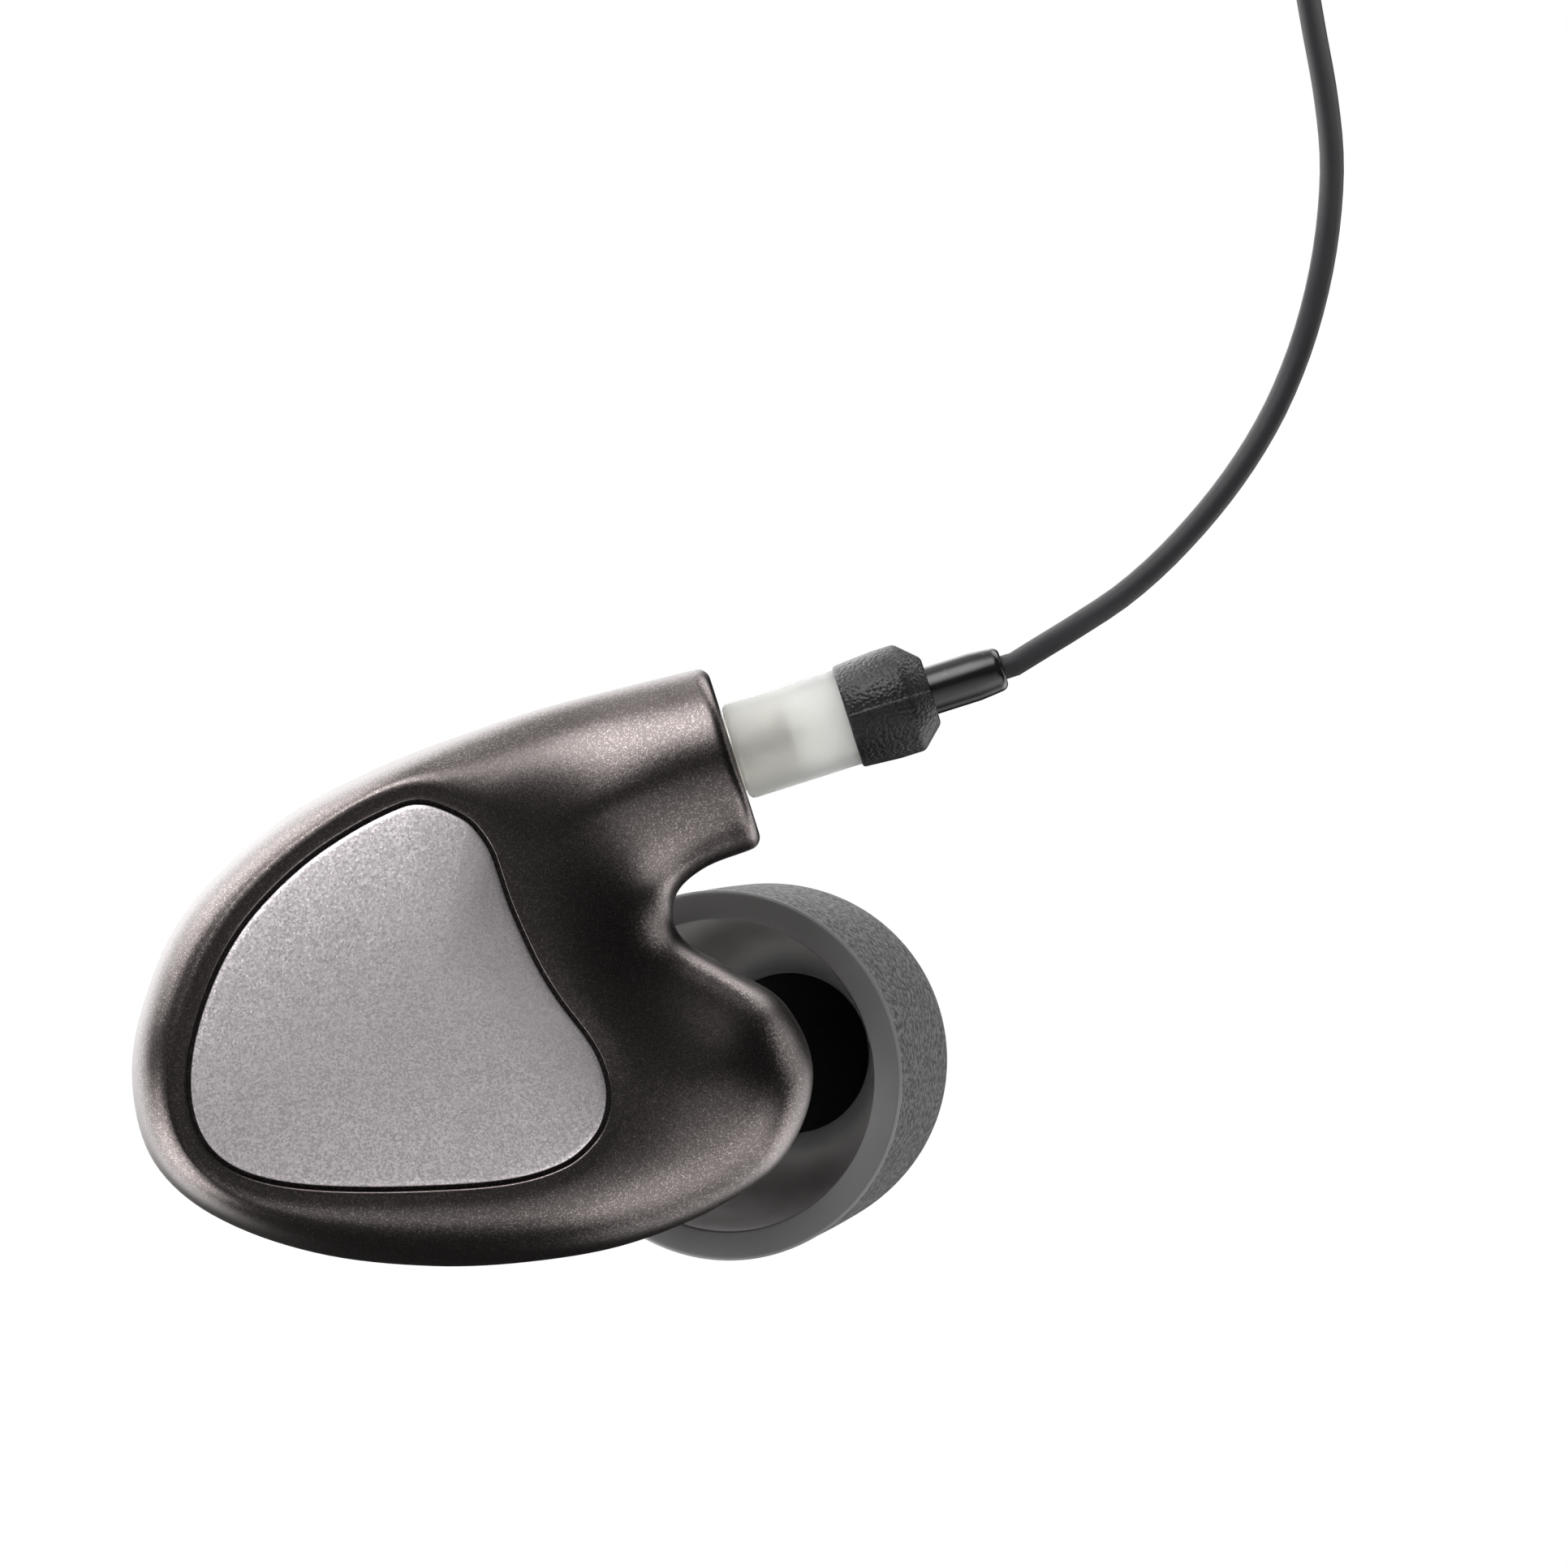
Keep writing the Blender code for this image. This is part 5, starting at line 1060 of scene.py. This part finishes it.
class MONITOR_OT_jack(bpy.types.Operator):
    """Makes the three-pole jack with its ribbed grip and its tapered boot."""
    bl_idname = "monitor.jack"
    bl_label = "Jack"

    def execute(self, context):
        colours = context.scene.monitor_lead
        plated = (turned_metal("contact_plate", colours.contacts, axis_of(JACK), 0.12, 0.24),
                  "contact_plate")
        black = (textured_plastic(colours.moulding), "black_plastic")
        jack = (JACK, "lead")
        turned_piece(*jack, "jack_contact_tip", "jack_tip", plated, [
            (0.0, 14.0), (0.3, 13.95), (0.62, 13.8), (1.68, 12.62), (1.75, 12.45), (1.68, 12.28),
            (1.05, 11.6), (1.05, 11.45), (1.75, 10.95), (1.75, 10.7), (0.5, 10.7), (0.5, -4.0),
            (0.0, -4.0),
        ], 0.04, closed=False)
        for name, node, look, front, back, inner, outer, tail in (
                ("jack_spacer_front", "jack_inner_insulator", black,
                 10.64, 10.15, 0.56, 0.86, -3.2),
                ("jack_contact_ring", "jack_ring", plated, 10.09, 7.89, 0.92, 1.22, -2.4),
                ("jack_spacer_back", "jack_outer_insulator", black, 7.83, 7.34, 1.28, 1.58, -1.6)):
            turned_piece(*jack, name, node, look, [
                (1.75, front), (1.75, back), (outer, back), (outer, tail), (inner, tail),
                (inner, front)])
        turned_piece(*jack, "jack_contact_sleeve", "jack_sleeve", plated, [
            (1.75, 7.28), (1.75, -0.5), (2.35, -0.5), (2.35, -1.1), (1.64, -1.1), (1.64, 7.28)])
        ribs = [(radius, -5.2 - 0.75 * number - down) for number in range(6)
                for radius, down in ((2.93, 0.0), (2.72, 0.1), (2.72, 0.3), (2.93, 0.4))]
        turned_piece(*jack, "jack_grip", "jack_handle", black, [
            (2.5, 0.0), (3.0, -0.5), (3.0, -3.5), *ribs, (3.0, -11.2), (3.0, -13.5), (2.5, -14.0),
            (1.66, -14.0), (1.66, -5.0), (2.41, -5.0), (2.41, -0.44), (1.81, -0.44), (1.81, 0.0),
        ], 0.06)
        steps = [(1.6 - 0.70 * share - inset, -14.3 - share * 5.0 - down)
                 for share in (0.0, 0.2, 0.4, 0.6, 0.8)
                 for inset, down in ((0.0, 0.0), (0.06, 0.6), (0.22, 0.68), (0.22, 0.92))]
        glossy = (glossy_plastic(colours.moulding), "black_plastic")
        turned_piece(*jack, "jack_relief", "jack_boot", glossy, [
            (0.0, -12.0), (1.6, -12.0), *steps, (0.87, -19.35), (0.85, BOOT_END),
            (0.46, BOOT_END), (0.46, -18.7), (0.0, -18.7),
        ], 0.04, closed=False)
        return {"FINISHED"}


class MONITOR_OT_inside(bpy.types.Operator):
    """Gives the parts inside the housing their finishes."""
    bl_idname = "monitor.inside"
    bl_label = "Inside"

    def execute(self, context):
        contacts = context.scene.monitor_lead.contacts
        axis = axis_of(CONNECTOR)
        looks = {
            "low_driver mid_driver high_driver":
                drawn_metal("driver_can", (0.64, 0.63, 0.60), 0.26, 0.42),
            "low_tube mid_tube high_tube":
                grained("clear_tube", (0.80, 0.82, 0.84), (0.18, 0.3), Transmission_Weight=0.6),
            "low_damper mid_damper": grained("damper_green", (0.10, 0.42, 0.18), (0.5, 0.7)),
            "crossover_board": grained("board_green", (0.03, 0.20, 0.09), (0.35, 0.5)),
            "crossover_capacitor": grained("ceramic", (0.50, 0.38, 0.25), (0.5, 0.7)),
            "crossover_resistor": grained("dark_chip", (0.03, 0.03, 0.03), (0.4, 0.55)),
            "signal_wire ground_wire low_wire mid_wire high_wire":
                drawn_metal("enamelled_copper", (0.60, 0.24, 0.10), 0.22, 0.36),
            "socket_insulator plug_insulator":
                grained("white_plastic", (0.84, 0.84, 0.82), (0.4, 0.55)),
            "socket_contact": turned_metal("contact_brass", contacts, axis, *TURNED_ROUGH),
            "snap_ring": turned_metal("ring_steel", STEEL, axis, *TURNED_ROUGH),
            "faceplate_adhesive": grained("bonding_film", (0.72, 0.69, 0.58), (0.5, 0.7)),
        }
        for names, look in looks.items():
            for name in names.split():
                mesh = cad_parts[name].data
                mesh.materials.clear()
                mesh.materials.append(look)
        return {"FINISHED"}


# Stage

# What the camera takes in, on the silhouette's plane
VIEW_CENTRE, VIEW_WIDTH = (9.7722 * MM, 7.5828 * MM), 0.051584
CAMERA_AWAY, SENSOR = 0.8, 36.0
# Soft boxes round the earpiece, in its own frame: direction, strength and half angle
SOFT_BOXES = [
    ((-0.84, -0.53, 0.08), 5.0, 37.0),
    ((-0.30, 0.71, 0.63), 5.0, 30.0),
    ((0.31, 0.89, -0.34), 4.4, 30.0),
    ((-0.70, 0.68, -0.21), 4.8, 34.0),
    ((-0.40, 0.40, -0.82), 3.2, 40.0),
    ((-0.72, -0.40, -0.56), 3.2, 36.0),
    ((0.62, -0.66, -0.43), 1.8, 30.0),
    ((0.62, -0.73, 0.30), 2.0, 32.0),
    ((-0.16, 0.87, 0.46), 1.4, 30.0),
    ((0.78, -0.32, -0.54), 2.2, 32.0),
    ((0.08, -0.50, 0.86), 0.84, 31.0),
    ((0.44, -0.69, 0.58), 0.8, 32.0),
    ((-0.43, 0.90, -0.10), 0.6, 62.0),
    ((-0.34, 0.52, 0.78), 0.7, 26.0),
    ((0.92, 0.32, -0.22), 1.6, 28.0),
]


def soft_world(scene, light):
    """Studio of soft boxes as one plain world, white to the camera itself."""
    world = bpy.data.worlds.new("studio")
    world.use_nodes = True
    scene.world = world
    tree = world.node_tree
    tree.nodes.clear()
    ray = add(tree, "ShaderNodeTexCoord").outputs["Generated"]
    total = 0.0
    turn = LAID.to_3x3()
    for direction, strength, reach in SOFT_BOXES:
        towards = (turn @ Vector(direction)).normalized()
        facing = vector_calc(tree, "DOT_PRODUCT", ray, towards)["Value"]
        glow = add(tree, "ShaderNodeMapRange", {
            0: facing, 1: math.cos(math.radians(reach)), 4: strength * light},
            interpolation_type="SMOOTHSTEP").outputs[0]
        total = calc(tree, "ADD", total, glow)
    boxes = add(tree, "ShaderNodeBackground", {"Strength": total})
    plain = add(tree, "ShaderNodeBackground", {"Color": (1.0, 1.0, 1.0, 1.0)})
    seen = add(tree, "ShaderNodeLightPath").outputs["Is Camera Ray"]
    either = add(tree, "ShaderNodeMixShader", {
        0: seen, 1: boxes.outputs[0], 2: plain.outputs[0]})
    add(tree, "ShaderNodeOutputWorld", {"Surface": either.outputs[0]})


class MONITOR_OT_stage(bpy.types.Operator):
    """Sets the white floor, the soft studio light and the camera at the photograph's angle."""
    bl_idname = "monitor.stage"
    bl_label = "Stage"

    def execute(self, context):
        scene = context.scene
        settings = scene.monitor_stage
        scene.view_settings.view_transform = "Standard"
        bm = bmesh.new()
        bmesh.ops.create_grid(bm, x_segments=1, y_segments=1, size=2.0)
        floor = new_object("floor", bm)
        made = bpy.data.materials.new("white_floor")
        made.use_nodes = True
        tree = made.node_tree
        tree.nodes.clear()
        glow = add(tree, "ShaderNodeEmission", {"Color": (*settings.floor, 1.0)})
        add(tree, "ShaderNodeOutputMaterial", {"Surface": glow.outputs[0]})
        floor.data.materials.append(made)
        for kind in ("diffuse", "glossy", "shadow", "volume_scatter"):
            setattr(floor, "visible_" + kind, False)
        soft_world(scene, settings.light)
        lens = bpy.data.cameras.new("camera")
        lens.sensor_width = SENSOR
        lens.lens = SENSOR * CAMERA_AWAY / VIEW_WIDTH
        lens.clip_start, lens.clip_end = 0.01, 20.0
        camera = bpy.data.objects.new("camera", lens)
        scene.collection.objects.link(camera)
        camera.matrix_world = LAID @ Matrix.Translation((*VIEW_CENTRE, CAMERA_AWAY))
        scene.camera = camera
        return {"FINISHED"}


class MONITOR_PT_pieces(bpy.types.Panel):
    """Lists the pieces of the monitor and their settings."""
    bl_idname = "MONITOR_PT_pieces"
    bl_label = "In-ear monitor"
    bl_space_type = "VIEW_3D"
    bl_region_type = "UI"
    bl_category = "Monitor"

    def draw(self, context):
        for operator in OPERATORS:
            self.layout.operator(operator.bl_idname)
        for group in SETTINGS:
            settings = getattr(context.scene, group)
            box = self.layout.box()
            for name in settings.bl_rna.properties.keys():
                if name not in ("rna_type", "name"):
                    box.prop(settings, name)


SETTINGS = {
    "monitor_housing": MonitorHousingSettings, "monitor_tip": MonitorTipSettings,
    "monitor_lead": MonitorLeadSettings, "monitor_stage": MonitorStageSettings,
}
OPERATORS = (
    MONITOR_OT_stage, MONITOR_OT_coil_tie, MONITOR_OT_jack, MONITOR_OT_lead, MONITOR_OT_housing,
    MONITOR_OT_faceplate, MONITOR_OT_ear_tip, MONITOR_OT_nozzle, MONITOR_OT_connector,
    MONITOR_OT_inside,
)


def register():
    for group in (*SETTINGS.values(), *OPERATORS, MONITOR_PT_pieces):
        bpy.utils.register_class(group)
    for name, group in SETTINGS.items():
        setattr(bpy.types.Scene, name, PointerProperty(type=group))


def unregister():
    for name in SETTINGS:
        delattr(bpy.types.Scene, name)
    for group in (MONITOR_PT_pieces, *reversed(OPERATORS), *SETTINGS.values()):
        bpy.utils.unregister_class(group)


def main():
    register()
    bpy.ops.monitor.stage()
    bpy.ops.monitor.coil_tie()
    bpy.ops.monitor.jack()
    bpy.ops.monitor.lead()
    bpy.ops.monitor.housing()
    bpy.ops.monitor.faceplate()
    bpy.ops.monitor.ear_tip()
    bpy.ops.monitor.nozzle()
    bpy.ops.monitor.connector()
    bpy.ops.monitor.inside()


if __name__ == "__main__":
    main()
